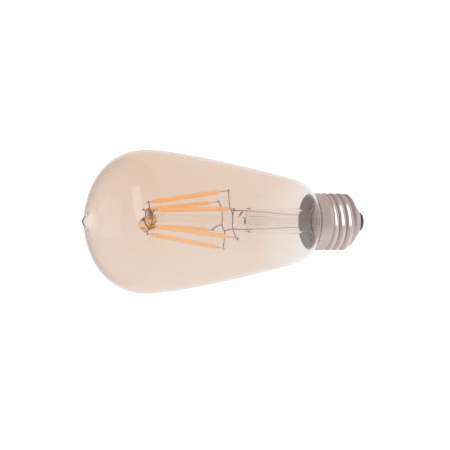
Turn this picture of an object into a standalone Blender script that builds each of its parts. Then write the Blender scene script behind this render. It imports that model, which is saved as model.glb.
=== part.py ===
"""LED filament lamp with a radio driver in its screw cap: a tapered, pipped glass bulb on an E27 cap.

The frame: the origin is the middle of the centre contact's face, and +Z runs up the lamp's axis to the pip.
Six filaments stand in a cone round a glass post. Three hang from lead A and three from lead B, and the hub
ring at the top joins them. The stem with all that it carries leans a little in the bulb, as a hand-set stem
does.

Every size below is in millimetres. The functions that make meshes turn them into metres.
"""

import math

import bmesh
import bpy
from mathutils import Matrix, Vector

MM = 0.001

# The bulb
BULB_RADIUS = 32.0
BULB_WIDEST_Z = 106.6
BULB_WALL = 0.8
PIP_TIP_Z = 137.6
NECK_RADIUS = 11.9
NECK_END_Z = 20.5

# The E27 cap
RIM_Z = 25.8
SKIRT_RADIUS = 13.05
SHELL_WALL = 0.3
THREAD_PITCH = 3.629
THREAD_CREST_RADIUS = 13.15
THREAD_ROOT_RADIUS = 12.1
THREAD_CREST_Z = 18.5  # height of one crest on the +X side
THREAD_TOP_Z = (21.3, 18.7)  # from no thread to a full one
THREAD_FOOT_Z = (7.4, 9.6)
SHELL_FOOT = (12.2, 7.9)  # radius and height where the thread's cylinder turns in
SHELL_END = (7.0, 3.2)  # radius and height of the shell's lower edge
CONTACT_RADIUS = 4.4
CEMENT_GAP = 0.2

# The stem
STEM_RADIUS = 5.8
STEM_BORE = 4.8
PRESS_TOP_Z = 64.6
PRESS_HALF_WIDTH = 5.2
PRESS_HALF_DEPTH = 2.1
LEAN_DEGREES = 1.1
LEAN_PIVOT_Z = 20.0
EXHAUST_RADIUS = 1.9
EXHAUST_BORE = 1.2
EXHAUST_TIP_Z = 15.0
EXHAUST_TOP_Z = 56.8
VENT_Z = 60.6  # where the pumping tube opens through the press's side
POST_RADIUS = 1.7
LEAD_OFFSET = 4.1  # of each lead from the axis, in the press
LEAD_BORE = 0.42
DUMET_RADIUS = 0.24
DUMET_Z = (56.0, 62.5)
WIRE_RADIUS = 0.26

# The bead at the post's top, which sagged to -X while it was soft
BEAD_RADIUS = 3.6
BEAD_SAG = 3.1
BEAD_Z = 107.0
SWELL_Z = 100.0  # where the post starts to swell into the bead
BEAD_GROOVE = 0.12  # clearance round the hub ring's wire

# The filament cage
FILAMENTS = 6
HUB_RING_RADIUS = 4.35
HUB_RING_Z = 105.9
TOP_WELD = (7.0, 106.2)  # radius and height of the filaments' upper welds
LOW_WELD = (13.2, 68.3)
LOW_WELD_RISE = (0.1, 1.8, -1.3, -0.1, 0.9, -0.5)  # filaments 1 to 6
TWIST_DEGREES = 8.5  # of the lower welds round from the upper ones
SPIDER_RADIUS = 6.0
SPIDER_Z = 67.6
ARM_PAST_WELD = 0.9
WELD_OFFSET = 0.62  # an arm passes a pin on its side
PIN_PAST_WELD = 0.8
PIN_WIDTH = 0.7
PIN_THICKNESS = 0.25
PHOSPHOR_LENGTH = 32.3
PHOSPHOR_HALF_WIDTH = 1.0
PHOSPHOR_HALF_THICKNESS = 0.92
PHOSPHOR_FROM_TOP_WELD = 2.2
CHANNEL_HALF_WIDTH = 0.62
CHANNEL_HALF_THICKNESS = 0.42
SUBSTRATE_WIDTH = 0.8
SUBSTRATE_THICKNESS = 0.4
PIN_IN_PHOSPHOR = 1.2

# The driver
BOARD_RADIUS = 10.2
BOARD_Z = (18.2, 19.2)
SEAT = 0.1  # a component stands this far off its board
SLEEVE_RADII = (10.6, 11.1)
SLEEVE_Z = (8.3, 19.3)
BOARD_HOLE = 2.5  # for the pumping tube
NEUTRAL_WIRE_DEGREES = -80.0
NEUTRAL_WIRE_Z = 13.0
LIVE_WIRE_RADIUS = 0.5

# name: (red, green, blue), metallic, roughness
MATERIALS = {
    "amber_glass": ((0.86, 0.72, 0.55), 0.0, 0.03),
    "post_glass": ((0.90, 0.84, 0.74), 0.0, 0.03),
    "clear_glass": ((0.90, 0.92, 0.91), 0.0, 0.03),
    "nickel_wire": ((0.34, 0.31, 0.30), 1.0, 0.35),
    "dumet": ((0.55, 0.16, 0.12), 1.0, 0.35),
    "phosphor": ((0.98, 0.60, 0.22), 0.0, 0.55),
    "ceramic_strip": ((0.90, 0.88, 0.82), 0.0, 0.50),
    "nickel_plate": ((0.70, 0.63, 0.59), 1.0, 0.25),
    "black_glass": ((0.02, 0.02, 0.03), 0.0, 0.20),
    "contact_metal": ((0.35, 0.33, 0.36), 1.0, 0.35),
    "cement": ((0.42, 0.31, 0.22), 0.0, 0.90),
    "sleeve_plastic": ((0.80, 0.80, 0.76), 0.0, 0.50),
    "board": ((0.33, 0.36, 0.27), 0.0, 0.55),
    "tin_can": ((0.72, 0.72, 0.70), 1.0, 0.30),
    "black_epoxy": ((0.03, 0.03, 0.03), 0.0, 0.50),
    "antenna_ceramic": ((0.75, 0.73, 0.66), 0.0, 0.45),
    "ceramic_chip": ((0.55, 0.42, 0.28), 0.0, 0.50),
    "capacitor_film": ((0.06, 0.07, 0.10), 0.0, 0.40),
    "rubber": ((0.05, 0.05, 0.05), 0.0, 0.80),
    "ferrite": ((0.10, 0.10, 0.11), 0.0, 0.70),
    "copper": ((0.72, 0.38, 0.20), 1.0, 0.30),
    "resistor_coat": ((0.20, 0.42, 0.45), 0.0, 0.45),
    "red_insulation": ((0.60, 0.06, 0.05), 0.0, 0.45),
}


def clear_scene():
    for obj in list(bpy.data.objects):
        bpy.data.objects.remove(obj)


def material(name):
    """The Principled material of that name, made the first time it is asked for."""
    found = bpy.data.materials.get(name)
    if found:
        return found
    colour, metallic, roughness = MATERIALS[name]
    made = bpy.data.materials.new(name)
    made.use_nodes = True
    shader = made.node_tree.nodes["Principled BSDF"]
    shader.inputs["Base Color"].default_value = (*colour, 1)
    shader.inputs["Metallic"].default_value = metallic
    shader.inputs["Roughness"].default_value = roughness
    return made


def mesh_from(bm, name, finish):
    """A mesh of bm, facing out, with round parts smooth."""
    bmesh.ops.remove_doubles(bm, verts=bm.verts, dist=1e-6)
    bmesh.ops.recalc_face_normals(bm, faces=bm.faces)
    mesh = bpy.data.meshes.new(name)
    bm.to_mesh(mesh)
    bm.free()
    mesh.materials.append(material(finish))
    mesh.shade_smooth()
    mesh.set_sharp_from_angle(angle=math.radians(35))
    return mesh


def placed(name, mesh, parent=None):
    obj = bpy.data.objects.new(name, mesh)
    bpy.context.scene.collection.objects.link(obj)
    obj.parent = parent
    return obj


def helper(name, mesh, parent=None):
    """An object that only cuts or joins others."""
    obj = placed(name, mesh, parent)
    obj.hide_render = True
    obj.display_type = "WIRE"
    return obj


def empty(name, matrix, parent=None):
    obj = bpy.data.objects.new(name, None)
    bpy.context.scene.collection.objects.link(obj)
    obj.parent = parent
    obj.matrix_local = matrix
    return obj


def boolean(obj, other, operation):
    modifier = obj.modifiers.new(f"{operation.lower()}_{other.name}", "BOOLEAN")
    modifier.operation = operation
    modifier.object = other


def bezier(start, control_1, control_2, end, steps):
    """Points of a cubic Bezier curve, without its start."""
    points = []
    for i in range(1, steps + 1):
        t = i / steps
        weights = ((1 - t) ** 3, 3 * (1 - t) ** 2 * t, 3 * (1 - t) * t**2, t**3)
        corners = (start, control_1, control_2, end)
        points.append(tuple(sum(w * c[k] for w, c in zip(weights, corners)) for k in range(len(start))))
    return points


def smooth_path(points, steps):
    """A Catmull-Rom curve through the points, as a list of positions."""
    knots = [Vector(p) for p in (points[0], *points, points[-1])]
    path = [knots[1]]
    for before, start, end, after in zip(knots, knots[1:], knots[2:], knots[3:]):
        for i in range(1, steps + 1):
            t = i / steps
            path.append(
                0.5
                * (
                    2 * start
                    + (end - before) * t
                    + (2 * before - 5 * start + 4 * end - after) * t**2
                    + (3 * start - before - 3 * end + after) * t**3
                )
            )
    return path


def smoothstep(low, high, value):
    t = min(1.0, max(0.0, (value - low) / (high - low)))
    return t * t * (3 - 2 * t)


def around(radius, degrees, z):
    """A point at that radius and angle from +X."""
    angle = math.radians(degrees)
    return Vector((radius * math.cos(angle), radius * math.sin(angle), z))


def turned(name, outline, finish, steps=24):
    """A mesh turned round Z from (radius, z) points. An outline that starts off the axis closes itself."""
    bm = bmesh.new()
    verts = [bm.verts.new((radius * MM, 0, z * MM)) for radius, z in outline]
    pairs = list(zip(verts, verts[1:]))
    if outline[0][0] > 0:
        pairs.append((verts[-1], verts[0]))
    edges = [bm.edges.new(pair) for pair in pairs]
    bmesh.ops.spin(
        bm,
        geom=verts + edges,
        axis=(0, 0, 1),
        cent=(0, 0, 0),
        angle=2 * math.pi,
        steps=steps,
        use_merge=True,
    )
    return mesh_from(bm, name, finish)


def loft(name, rings, finish, cyclic=False):
    """A mesh through rings of equal count, capped at both ends, or joined end to start."""
    bm = bmesh.new()
    loops = [[bm.verts.new(Vector(p) * MM) for p in ring] for ring in rings]
    joins = list(zip(loops, loops[1:]))
    if cyclic:
        joins.append((loops[-1], loops[0]))
    else:
        bm.faces.new(loops[0])
        bm.faces.new(loops[-1])
    for low, high in joins:
        for i, corner in enumerate(low):
            bm.faces.new((corner, low[i - 1], high[i - 1], high[i]))
    return mesh_from(bm, name, finish)


def tube(name, path, radius, finish, sides=6, cyclic=False):
    """A round wire along the path."""
    points = [Vector(p) for p in path]
    count = len(points)
    last = count - 1
    rings = []
    side = None
    for i, point in enumerate(points):
        before = points[i - 1] if cyclic else points[max(i - 1, 0)]
        after = points[(i + 1) % count] if cyclic else points[min(i + 1, last)]
        along = (after - before).normalized()
        side = side or along.orthogonal()
        side = (side - along * side.dot(along)).normalized()
        across = along.cross(side)
        turns = (2 * math.pi * k / sides for k in range(sides))
        rings.append([point + radius * (side * math.cos(t) + across * math.sin(t)) for t in turns])
    return loft(name, rings, finish, cyclic)


def oval(half_width, half_depth, z, sides, squareness=2.0):
    """A superellipse ring round Z. A squareness of 2 is an ellipse, and more is boxier."""
    ring = []
    for k in range(sides):
        angle = 2 * math.pi * k / sides
        c, s = math.cos(angle), math.sin(angle)
        x = math.copysign(abs(c) ** (2 / squareness), c)
        y = math.copysign(abs(s) ** (2 / squareness), s)
        ring.append((half_width * x, half_depth * y, z))
    return ring


def block(name, size, centre, finish, bevel=0.15):
    """A box with bevelled edges."""
    bm = bmesh.new()
    bmesh.ops.create_cube(bm, size=1)
    bmesh.ops.scale(bm, vec=Vector(size) * MM, verts=bm.verts)
    if bevel:
        bmesh.ops.bevel(bm, geom=bm.edges[:], offset=bevel * MM, segments=1, affect="EDGES")
    bmesh.ops.translate(bm, vec=Vector(centre) * MM, verts=bm.verts)
    return mesh_from(bm, name, finish)


def rod(name, start, end, radius, finish, sides=16):
    return tube(name, [start, end], radius, finish, sides)


def joined_wires(name, meshes, parent):
    """One welded wire frame: the first mesh with the others united to it."""
    obj = placed(name, meshes[0], parent)
    for i, mesh in enumerate(meshes[1:]):
        boolean(obj, helper(f"{name}_join_{i}", mesh, parent), "UNION")
    return obj


# The bulb


def bulb_outline():
    """The bulb's outer outline from its neck to its pip: neck, shoulder, long flank, dome and pip."""
    neck_top = (NECK_RADIUS, RIM_Z - 1.2)
    over_rim = (12.9, RIM_Z + 0.7)
    shoulder = (19.6, 35.6)
    widest = (BULB_RADIUS, BULB_WIDEST_Z)
    pip_foot = (5.5, 133.9)
    tip = (0.0, PIP_TIP_Z)
    return [
        (NECK_RADIUS, NECK_END_Z),
        neck_top,
        *bezier(neck_top, (NECK_RADIUS, RIM_Z), (12.2, RIM_Z + 0.5), over_rim, 2),
        *bezier(over_rim, (16.3, 27.5), (18.4, 30.4), shoulder, 4),
        *bezier(shoulder, (24.4, 55.4), (BULB_RADIUS, 92.9), widest, 7),
        *bezier(widest, (BULB_RADIUS, 124.1), (19.5, 130.0), pip_foot, 8),
        *bezier(pip_foot, (3.2, 134.7), (1.9, PIP_TIP_Z), tip, 4),
    ]


def inset_outline(outline, wall):
    """The outline moved inwards by the wall, along its own normals."""
    moved = []
    for i, point in enumerate(outline):
        before = outline[max(i - 1, 0)]
        after = outline[min(i + 1, len(outline) - 1)]
        along = (Vector(after) - Vector(before)).normalized()
        moved.append((point[0] - along.y * wall, point[1] + along.x * wall))
    return moved


def make_bulb():
    outer = bulb_outline()
    pip_hollow = [(7.0, 132.5), (5.2, 132.9), (3.2, 133.6), (1.9, 134.6), (1.1, 135.9), (0.0, 136.4)]
    inner = [p for p in inset_outline(outer, BULB_WALL) if p[1] < BULB_WIDEST_Z or p[0] > 9.0]
    inner[0] = (NECK_RADIUS - BULB_WALL, NECK_END_Z)
    outline = outer[::-1] + inner + pip_hollow
    placed("glass_envelope", turned("glass_envelope", outline, "amber_glass", 32))


# The cap


def plain_shell_radius(z):
    """The shell's radius where it has no thread: its skirt, and a slightly smaller foot."""
    return SKIRT_RADIUS + (SHELL_FOOT[0] - SKIRT_RADIUS) * smoothstep(SHELL_FOOT[1] + 3.4, SHELL_FOOT[1], z)


def shell_radius(angle, z):
    """The rolled right-hand thread, which fades out into the skirt above and the foot below."""
    middle = (THREAD_CREST_RADIUS + THREAD_ROOT_RADIUS) / 2
    depth = (THREAD_CREST_RADIUS - THREAD_ROOT_RADIUS) / 2
    thread = middle + depth * math.cos(2 * math.pi * (z - THREAD_CREST_Z) / THREAD_PITCH - angle)
    full = smoothstep(*THREAD_TOP_Z, z) * smoothstep(*THREAD_FOOT_Z, z)
    return plain_shell_radius(z) * (1 - full) + thread * full


def make_shell(sides=32, rows_per_turn=6):
    row = THREAD_PITCH / rows_per_turn
    heights = [RIM_Z, RIM_Z - 2.2, THREAD_TOP_Z[0]]
    while heights[-1] - row > SHELL_FOOT[1]:
        heights.append(heights[-1] - row)
    curve = bezier(SHELL_FOOT, (11.3, 7.2), (8.8, 5.0), SHELL_END, 4)
    bm = bmesh.new()
    loops = []
    for z in heights:
        angles = [2 * math.pi * k / sides for k in range(sides)]
        ring = [around(shell_radius(a, z), math.degrees(a), z) for a in angles]
        loops.append([bm.verts.new(p * MM) for p in ring])
    for radius, z in curve:
        loops.append([bm.verts.new(around(radius, 360 * k / sides, z) * MM) for k in range(sides)])
    for high, low in zip(loops, loops[1:]):
        for i, corner in enumerate(low):
            bm.faces.new((low[i - 1], corner, high[i], high[i - 1]))
    shell = placed("screw_shell", mesh_from(bm, "screw_shell", "nickel_plate"))
    wall = shell.modifiers.new("wall", "SOLIDIFY")
    wall.thickness = SHELL_WALL * MM
    wall.offset = -1
    wall.use_even_offset = True


def make_cap():
    make_shell()
    insulator = [
        (1.6, 1.5),
        (4.7, 1.5),
        (5.0, 1.7),
        (6.6, 2.9),
        (6.6, 3.9),
        (7.9, 5.2),
        (9.4, 6.6),
        (10.2, 7.6),
        (9.8, 7.95),
        (3.0, 6.0),
        (1.6, 6.0),
    ]
    placed("cap_insulator", turned("cap_insulator", insulator, "black_glass"))
    contact = [
        (0.0, 0.0),
        (3.4, 0.0),
        (4.1, 0.3),
        (CONTACT_RADIUS, 1.2),
        (1.3, 1.2),
        (1.3, 6.3),
        (0.9, 6.6),
        (0.0, 6.6),
    ]
    placed("centre_contact", turned("centre_contact", contact, "contact_metal", 24))
    inner, outer = NECK_RADIUS + CEMENT_GAP, SKIRT_RADIUS - SHELL_WALL - CEMENT_GAP
    cement = [
        (inner, NECK_END_Z + 0.5),
        (outer, NECK_END_Z + 0.5),
        (12.4, NECK_END_Z + 0.1),
        (12.1, NECK_END_Z - 0.4),
        (11.6, NECK_END_Z - 0.9),
        (10.6, NECK_END_Z - 0.9),
        (10.6, NECK_END_Z - 0.3),
        (inner, NECK_END_Z - 0.3),
    ]
    placed("basing_cement", turned("basing_cement", cement, "cement", 32))


# The stem


def make_stem(mount, sides=24):
    """Flare, tube and flattened press in one piece of glass, hollow up to the press."""
    outside = [
        (PRESS_TOP_Z, PRESS_HALF_WIDTH - 0.5, PRESS_HALF_DEPTH - 0.5, 3.0),
        (PRESS_TOP_Z - 0.5, PRESS_HALF_WIDTH, PRESS_HALF_DEPTH, 3.2),
        (60.2, PRESS_HALF_WIDTH + 0.1, PRESS_HALF_DEPTH + 0.2, 3.0),
        (58.2, 5.4, 3.1, 2.6),
        (56.2, 5.65, 4.7, 2.2),
        (54.2, STEM_RADIUS, STEM_RADIUS, 2.0),
    ]
    tube_foot = (STEM_RADIUS, 28.3)
    rim = (10.7, 21.6)
    flare = [tube_foot, *bezier(tube_foot, (STEM_RADIUS, 24.9), (7.0, 22.7), rim, 5), (10.7, 20.9)]
    rim_inside = (10.3, 20.8)
    flare_inside = bezier(rim_inside, (6.7, 21.6), (STEM_BORE, 23.7), (STEM_BORE, 27.9), 5)
    inside = [
        (54.2, STEM_BORE, STEM_BORE, 2.0),
        (56.0, 4.75, 3.6, 2.2),
        (57.1, 4.6, 2.2, 2.6),
        (57.6, 4.3, 1.2, 2.6),
    ]
    turned_part = [(z, r, r, 2.0) for r, z in [*flare, rim_inside, *flare_inside]]
    stations = outside + turned_part + inside
    rings = [oval(width, depth, z, sides, squareness) for z, width, depth, squareness in stations]
    stem = placed("glass_stem", loft("glass_stem", rings, "clear_glass"), mount)
    for side, x in (("a", LEAD_OFFSET), ("b", -LEAD_OFFSET)):
        bore = rod(f"lead_bore_{side}", (x, 0, 56.3), (x, 0, PRESS_TOP_Z + 1), LEAD_BORE, "clear_glass", 12)
        boolean(stem, helper(f"lead_bore_{side}", bore, mount), "DIFFERENCE")
    passage = rod("exhaust_passage", (0, 0, 56.3), (0, 0, VENT_Z + 0.6), EXHAUST_BORE, "clear_glass")
    boolean(stem, helper("exhaust_passage", passage, mount), "DIFFERENCE")
    vent = rod("exhaust_vent", (0, 0, VENT_Z), (0, -4.0, VENT_Z), 0.85, "clear_glass")
    boolean(stem, helper("exhaust_vent", vent, mount), "DIFFERENCE")


def make_exhaust_tube(mount):
    """The pumping tube, melted shut at its lower end."""
    outline = [
        (0.0, EXHAUST_TIP_Z),
        (0.7, EXHAUST_TIP_Z + 0.2),
        (1.4, EXHAUST_TIP_Z + 1.2),
        (EXHAUST_RADIUS, EXHAUST_TIP_Z + 3.0),
        (EXHAUST_RADIUS, EXHAUST_TOP_Z),
        (EXHAUST_BORE, EXHAUST_TOP_Z),
        (EXHAUST_BORE, EXHAUST_TIP_Z + 3.2),
        (0.6, EXHAUST_TIP_Z + 1.7),
        (0.0, EXHAUST_TIP_Z + 1.4),
    ]
    placed("exhaust_tube", turned("exhaust_tube", outline, "clear_glass", 16), mount)


def make_post(mount, sides=16):
    """The post on the press, with the bead that grips the hub ring at its top."""
    rings = [oval(POST_RADIUS, POST_RADIUS, z, sides) for z in (PRESS_TOP_Z + 0.3, SWELL_Z)]
    for i in range(1, 10):
        t = i / 10
        z = SWELL_Z + (BEAD_Z + BEAD_RADIUS - SWELL_Z) * t
        swell = smoothstep(0.1, 0.66, t)
        round_off = math.sqrt(max(0.0, 1 - max(0.0, (z - BEAD_Z) / BEAD_RADIUS) ** 2))
        radius = (POST_RADIUS + (BEAD_RADIUS - POST_RADIUS) * swell) * round_off
        sag = BEAD_SAG * smoothstep(0.15, 0.8, t)
        rings.append([(x - sag, y, z) for x, y, z in oval(radius, radius, z, sides)])
    top = BEAD_Z + BEAD_RADIUS
    rings.append([(x - BEAD_SAG, y, top - 0.03) for x, y, z in oval(0.5, 0.5, top, sides)])
    post = placed("centre_post", loft("centre_post", rings, "post_glass"), mount)
    for i, mesh in enumerate(hub_meshes("hub_groove", WIRE_RADIUS + BEAD_GROOVE, 0.6)):
        boolean(post, helper(f"hub_groove_{i}", mesh, mount), "DIFFERENCE")


# The filament cage


def filament_degrees(number):
    """The direction of a filament at the hub. Number 1 is at +X. The others follow clockwise from above."""
    return -(number - 1) * 360.0 / FILAMENTS


def weld_points(number):
    """The upper and lower welds of a filament."""
    degrees = filament_degrees(number)
    top = around(TOP_WELD[0], degrees, TOP_WELD[1])
    low = around(LOW_WELD[0], degrees - TWIST_DEGREES, LOW_WELD[1] + LOW_WELD_RISE[number - 1])
    return top, low


def beside(radius, degrees, z):
    """A point of an arm that runs outwards at that angle and passes a pin on its side."""
    return around(radius, degrees, z) + around(WELD_OFFSET, degrees - 90, 0)


def hub_meshes(name, radius, past_end=0.0):
    """The hub's ring and its arms, as wires of that radius."""
    circle = [around(HUB_RING_RADIUS, 15.0 * i, HUB_RING_Z) for i in range(24)]
    meshes = [tube(f"{name}_ring", circle, radius, "nickel_wire", cyclic=True)]
    for number in range(1, FILAMENTS + 1):
        degrees = filament_degrees(number)
        start = beside(HUB_RING_RADIUS - 0.05, degrees, HUB_RING_Z)
        end = beside(TOP_WELD[0] + ARM_PAST_WELD + past_end, degrees, TOP_WELD[1])
        meshes.append(tube(f"{name}_arm_{number}", [start, end], radius, "nickel_wire"))
    return meshes


def make_spider(side, first, mount):
    """The inner lead and its three arms. The wire from the first arm bends round the post to the third."""
    turn = filament_degrees(first) - TWIST_DEGREES
    half_turn = 0 if first == 1 else 180
    step = 360.0 / FILAMENTS
    lows = [weld_points(number)[1].z for number in range(first, first + 3)]
    tip = LOW_WELD[0] + ARM_PAST_WELD
    route = [
        beside(tip, turn, lows[0]),
        beside(9.6, turn - 2, (lows[0] + SPIDER_Z) / 2),
        around(SPIDER_RADIUS + 0.4, turn - 14, SPIDER_Z),
        around(SPIDER_RADIUS, turn - 36, SPIDER_Z),
        around(SPIDER_RADIUS, turn - step, SPIDER_Z),
        around(SPIDER_RADIUS, turn - 2 * step + 32, SPIDER_Z),
        around(SPIDER_RADIUS + 0.6, turn - 2 * step + 10, SPIDER_Z),
        beside(9.4, turn - 2 * step + 2, (lows[2] + SPIDER_Z) / 2),
        beside(tip, turn - 2 * step, lows[2]),
    ]
    arm = [
        around(SPIDER_RADIUS, turn - step, SPIDER_Z),
        beside(9.6, turn - step, (lows[1] + SPIDER_Z) / 2),
        beside(tip, turn - step, lows[1]),
    ]
    lead = [
        around(LEAD_OFFSET, half_turn, DUMET_Z[1] + 0.2),
        around(LEAD_OFFSET, half_turn, PRESS_TOP_Z + 0.5),
        around(LEAD_OFFSET + 0.5, half_turn - 10, PRESS_TOP_Z + 1.8),
        around(SPIDER_RADIUS, turn - 26, SPIDER_Z),
    ]
    meshes = [
        tube(f"spider_{side}_route", smooth_path(route, 3), WIRE_RADIUS, "nickel_wire"),
        tube(f"spider_{side}_arm", smooth_path(arm, 3), WIRE_RADIUS, "nickel_wire"),
        tube(f"spider_{side}_lead", smooth_path(lead, 3), WIRE_RADIUS, "nickel_wire"),
    ]
    joined_wires(f"support_spider_{side}", meshes, mount)


def make_leads(side, half_turn, mount):
    """The copper-clad seal wire in the press, and the outer lead from it down to the board."""
    dumet = rod("dumet", *(around(LEAD_OFFSET, half_turn, z) for z in DUMET_Z), DUMET_RADIUS, "dumet", 8)
    placed(f"seal_wire_{side}", dumet, mount)
    route = [
        around(LEAD_OFFSET, half_turn, DUMET_Z[0] - 0.2),
        around(LEAD_OFFSET - 0.3, half_turn, 48.7),
        around(LEAD_OFFSET - 1.2, half_turn, 35.7),
        around(LEAD_OFFSET - 1.0, half_turn, 27.0),
        around(LEAD_OFFSET, half_turn, 22.3),
        around(LEAD_OFFSET + 0.2, half_turn, BOARD_Z[1] + 0.3),
    ]
    name = f"outer_lead_{side}"
    placed(name, tube(name, smooth_path(route, 3), WIRE_RADIUS, "nickel_wire"), mount)


def make_filament(number, mount):
    """A phosphor-coated strip of chips between two pins, on an axis of its own from its upper weld down."""
    top, low = weld_points(number)
    along = (top - low).normalized()
    tangent = around(1, filament_degrees(number) + 90, 0)
    radial = tangent.cross(along).normalized()
    tangent = along.cross(radial)
    frame = Matrix((radial, tangent, along)).transposed().to_4x4()
    frame.translation = top * MM
    axis = empty(f"filament_{number}_axis", frame, mount)
    name = f"filament_{number}"

    start = -PHOSPHOR_FROM_TOP_WELD
    end = start - PHOSPHOR_LENGTH
    sizes = [(0.0, 0.76), (0.6, 0.85), (1.8, 1.0)]
    stations = [(start - z, size) for z, size in sizes] + [(end + z, size) for z, size in sizes[::-1]]
    rings = [oval(PHOSPHOR_HALF_WIDTH * s, PHOSPHOR_HALF_THICKNESS * s, z, 12, 2.3) for z, s in stations]
    for z in (end, start):
        rings.append(oval(CHANNEL_HALF_WIDTH, CHANNEL_HALF_THICKNESS, z, 12, 4.0))
    placed(f"{name}_phosphor", loft(f"{name}_phosphor", rings, "phosphor", cyclic=True), axis)

    strip_length = PHOSPHOR_LENGTH - 2 * PIN_IN_PHOSPHOR - 0.4
    size = (SUBSTRATE_WIDTH, SUBSTRATE_THICKNESS, strip_length)
    centre = (0, 0, (start + end) / 2)
    placed(f"{name}_strip", block(f"{name}_strip", size, centre, "ceramic_strip", 0), axis)

    spans = {"top_pin": (PIN_PAST_WELD, start - PIN_IN_PHOSPHOR)}
    spans["bottom_pin"] = (end + PIN_IN_PHOSPHOR, -(top - low).length - PIN_PAST_WELD)
    for pin, (high, bottom) in spans.items():
        size = (PIN_WIDTH, PIN_THICKNESS, high - bottom)
        centre = (0, 0, (high + bottom) / 2)
        placed(f"{name}_{pin}", block(f"{name}_{pin}", size, centre, "nickel_wire", 0), axis)


# The driver


def make_board_parts():
    """The round board, and what stands on it. Sizes are width, depth and height, and places are x and y."""
    hole, rim = BOARD_HOLE, BOARD_RADIUS
    low, high = BOARD_Z
    board = [(hole, high), (hole, low), (rim, low), (rim, high)]
    placed("driver_board", turned("driver_board", board, "board", 32))
    above = {
        "radio_shield": ((6.0, 4.4, 1.2), (0.0, 6.0), "tin_can"),
        "antenna_chip": ((5.0, 1.8, 0.9), (0.0, -7.6), "antenna_ceramic"),
        "driver_chip": ((3.2, 3.2, 1.0), (5.2, -4.2), "black_epoxy"),
        "chip_capacitor_1": ((2.0, 1.25, 0.8), (-6.6, -3.4), "ceramic_chip"),
        "chip_capacitor_2": ((1.25, 2.0, 0.8), (-4.0, -5.8), "ceramic_chip"),
        "chip_resistor_1": ((1.25, 2.0, 0.5), (7.4, 2.6), "black_epoxy"),
        "chip_resistor_2": ((1.25, 2.0, 0.5), (-7.4, 2.6), "black_epoxy"),
    }
    for name, (size, place, finish) in above.items():
        centre = (*place, high + SEAT + size[2] / 2)
        placed(name, block(name, size, centre, finish, 0.12))
    below = {
        "bridge_rectifier": ((4.7, 3.9, 1.5), (5.3, -4.0), "black_epoxy"),
        "mains_capacitor": ((5.0, 3.2, 5.4), (0.0, 6.7), "ceramic_chip"),
    }
    for name, (size, place, finish) in below.items():
        centre = (*place, low - SEAT - size[2] / 2)
        placed(name, block(name, size, centre, finish, 0.3))


def make_bulk_capacitor():
    """An aluminium can hung from the board, and the rubber bung in its mouth."""
    mouth = BOARD_Z[0] - 0.3
    outline = [
        (0.0, mouth - 6.8),
        (2.8, mouth - 6.8),
        (3.15, mouth - 6.4),
        (3.15, mouth - 1.9),
        (2.85, mouth - 1.5),
        (3.15, mouth - 1.1),
        (3.0, mouth),
        (2.7, mouth),
        (2.7, mouth - 1.0),
        (2.55, mouth - 1.5),
        (2.7, mouth - 2.0),
        (2.7, mouth - 6.3),
        (0.0, mouth - 6.3),
    ]
    place = empty("bulk_capacitor_place", Matrix.Translation(Vector((-5.6, 2.5, 0)) * MM))
    placed("capacitor_can", turned("capacitor_can", outline, "capacitor_film", 20), place)
    low, high = mouth - 1.3, mouth - 0.1
    bung = [(0.0, low), (2.3, low), (2.45, mouth - 0.6), (2.4, high), (0.0, high)]
    placed("capacitor_bung", turned("capacitor_bung", bung, "rubber", 20), place)


def make_choke():
    """A drum of ferrite, with its winding in the waist."""
    top = BOARD_Z[0] - 0.3
    drum = [
        (0.0, top - 5.4),
        (2.5, top - 5.4),
        (2.5, top - 4.6),
        (1.1, top - 4.6),
        (1.1, top - 0.8),
        (2.5, top - 0.8),
        (2.5, top),
        (0.0, top),
    ]
    winding = [(1.25, top - 4.45), (2.2, top - 4.45), (2.2, top - 0.95), (1.25, top - 0.95)]
    place = empty("choke_place", Matrix.Translation(Vector((5.6, 3.4, 0)) * MM))
    placed("choke_core", turned("choke_core", drum, "ferrite", 20), place)
    placed("choke_winding", turned("choke_winding", winding, "copper", 20), place)


def make_fuse_resistor():
    """A coated body on its side, with waisted ends."""
    length, centre_z = 5.4, BOARD_Z[0] - 1.9
    half = [(0.0, 0.9), (0.35, 1.25), (1.0, 1.3), (1.6, 1.1)]
    sizes = half + [(length - along, radius) for along, radius in half[::-1]]
    rings = []
    for along, radius in sizes:
        circle = oval(radius, radius, 0, 12)
        rings.append([(along - length / 2 - 4.2, y - 5.2, z + centre_z) for z, y, _ in circle])
    placed("fuse_resistor", loft("fuse_resistor", rings, "resistor_coat"))


def make_wires():
    """The wires from the board to the cap's two poles."""
    live = [(0.4, -4.6, 17.8), (0.4, -4.6, 14.0), (0.2, -2.2, 10.6), (0.0, -0.2, 8.6), (0.0, 0.0, 6.9)]
    placed("live_wire", tube("live_wire", smooth_path(live, 3), LIVE_WIRE_RADIUS, "red_insulation"))
    neutral = [
        around(8.9, NEUTRAL_WIRE_DEGREES, BOARD_Z[0] - 0.3),
        around(8.9, NEUTRAL_WIRE_DEGREES, NEUTRAL_WIRE_Z + 1.8),
        around(9.4, NEUTRAL_WIRE_DEGREES, NEUTRAL_WIRE_Z + 0.4),
        around(11.5, NEUTRAL_WIRE_DEGREES, NEUTRAL_WIRE_Z),
    ]
    placed("neutral_wire", tube("neutral_wire", smooth_path(neutral, 3), 0.3, "nickel_wire"))


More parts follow.
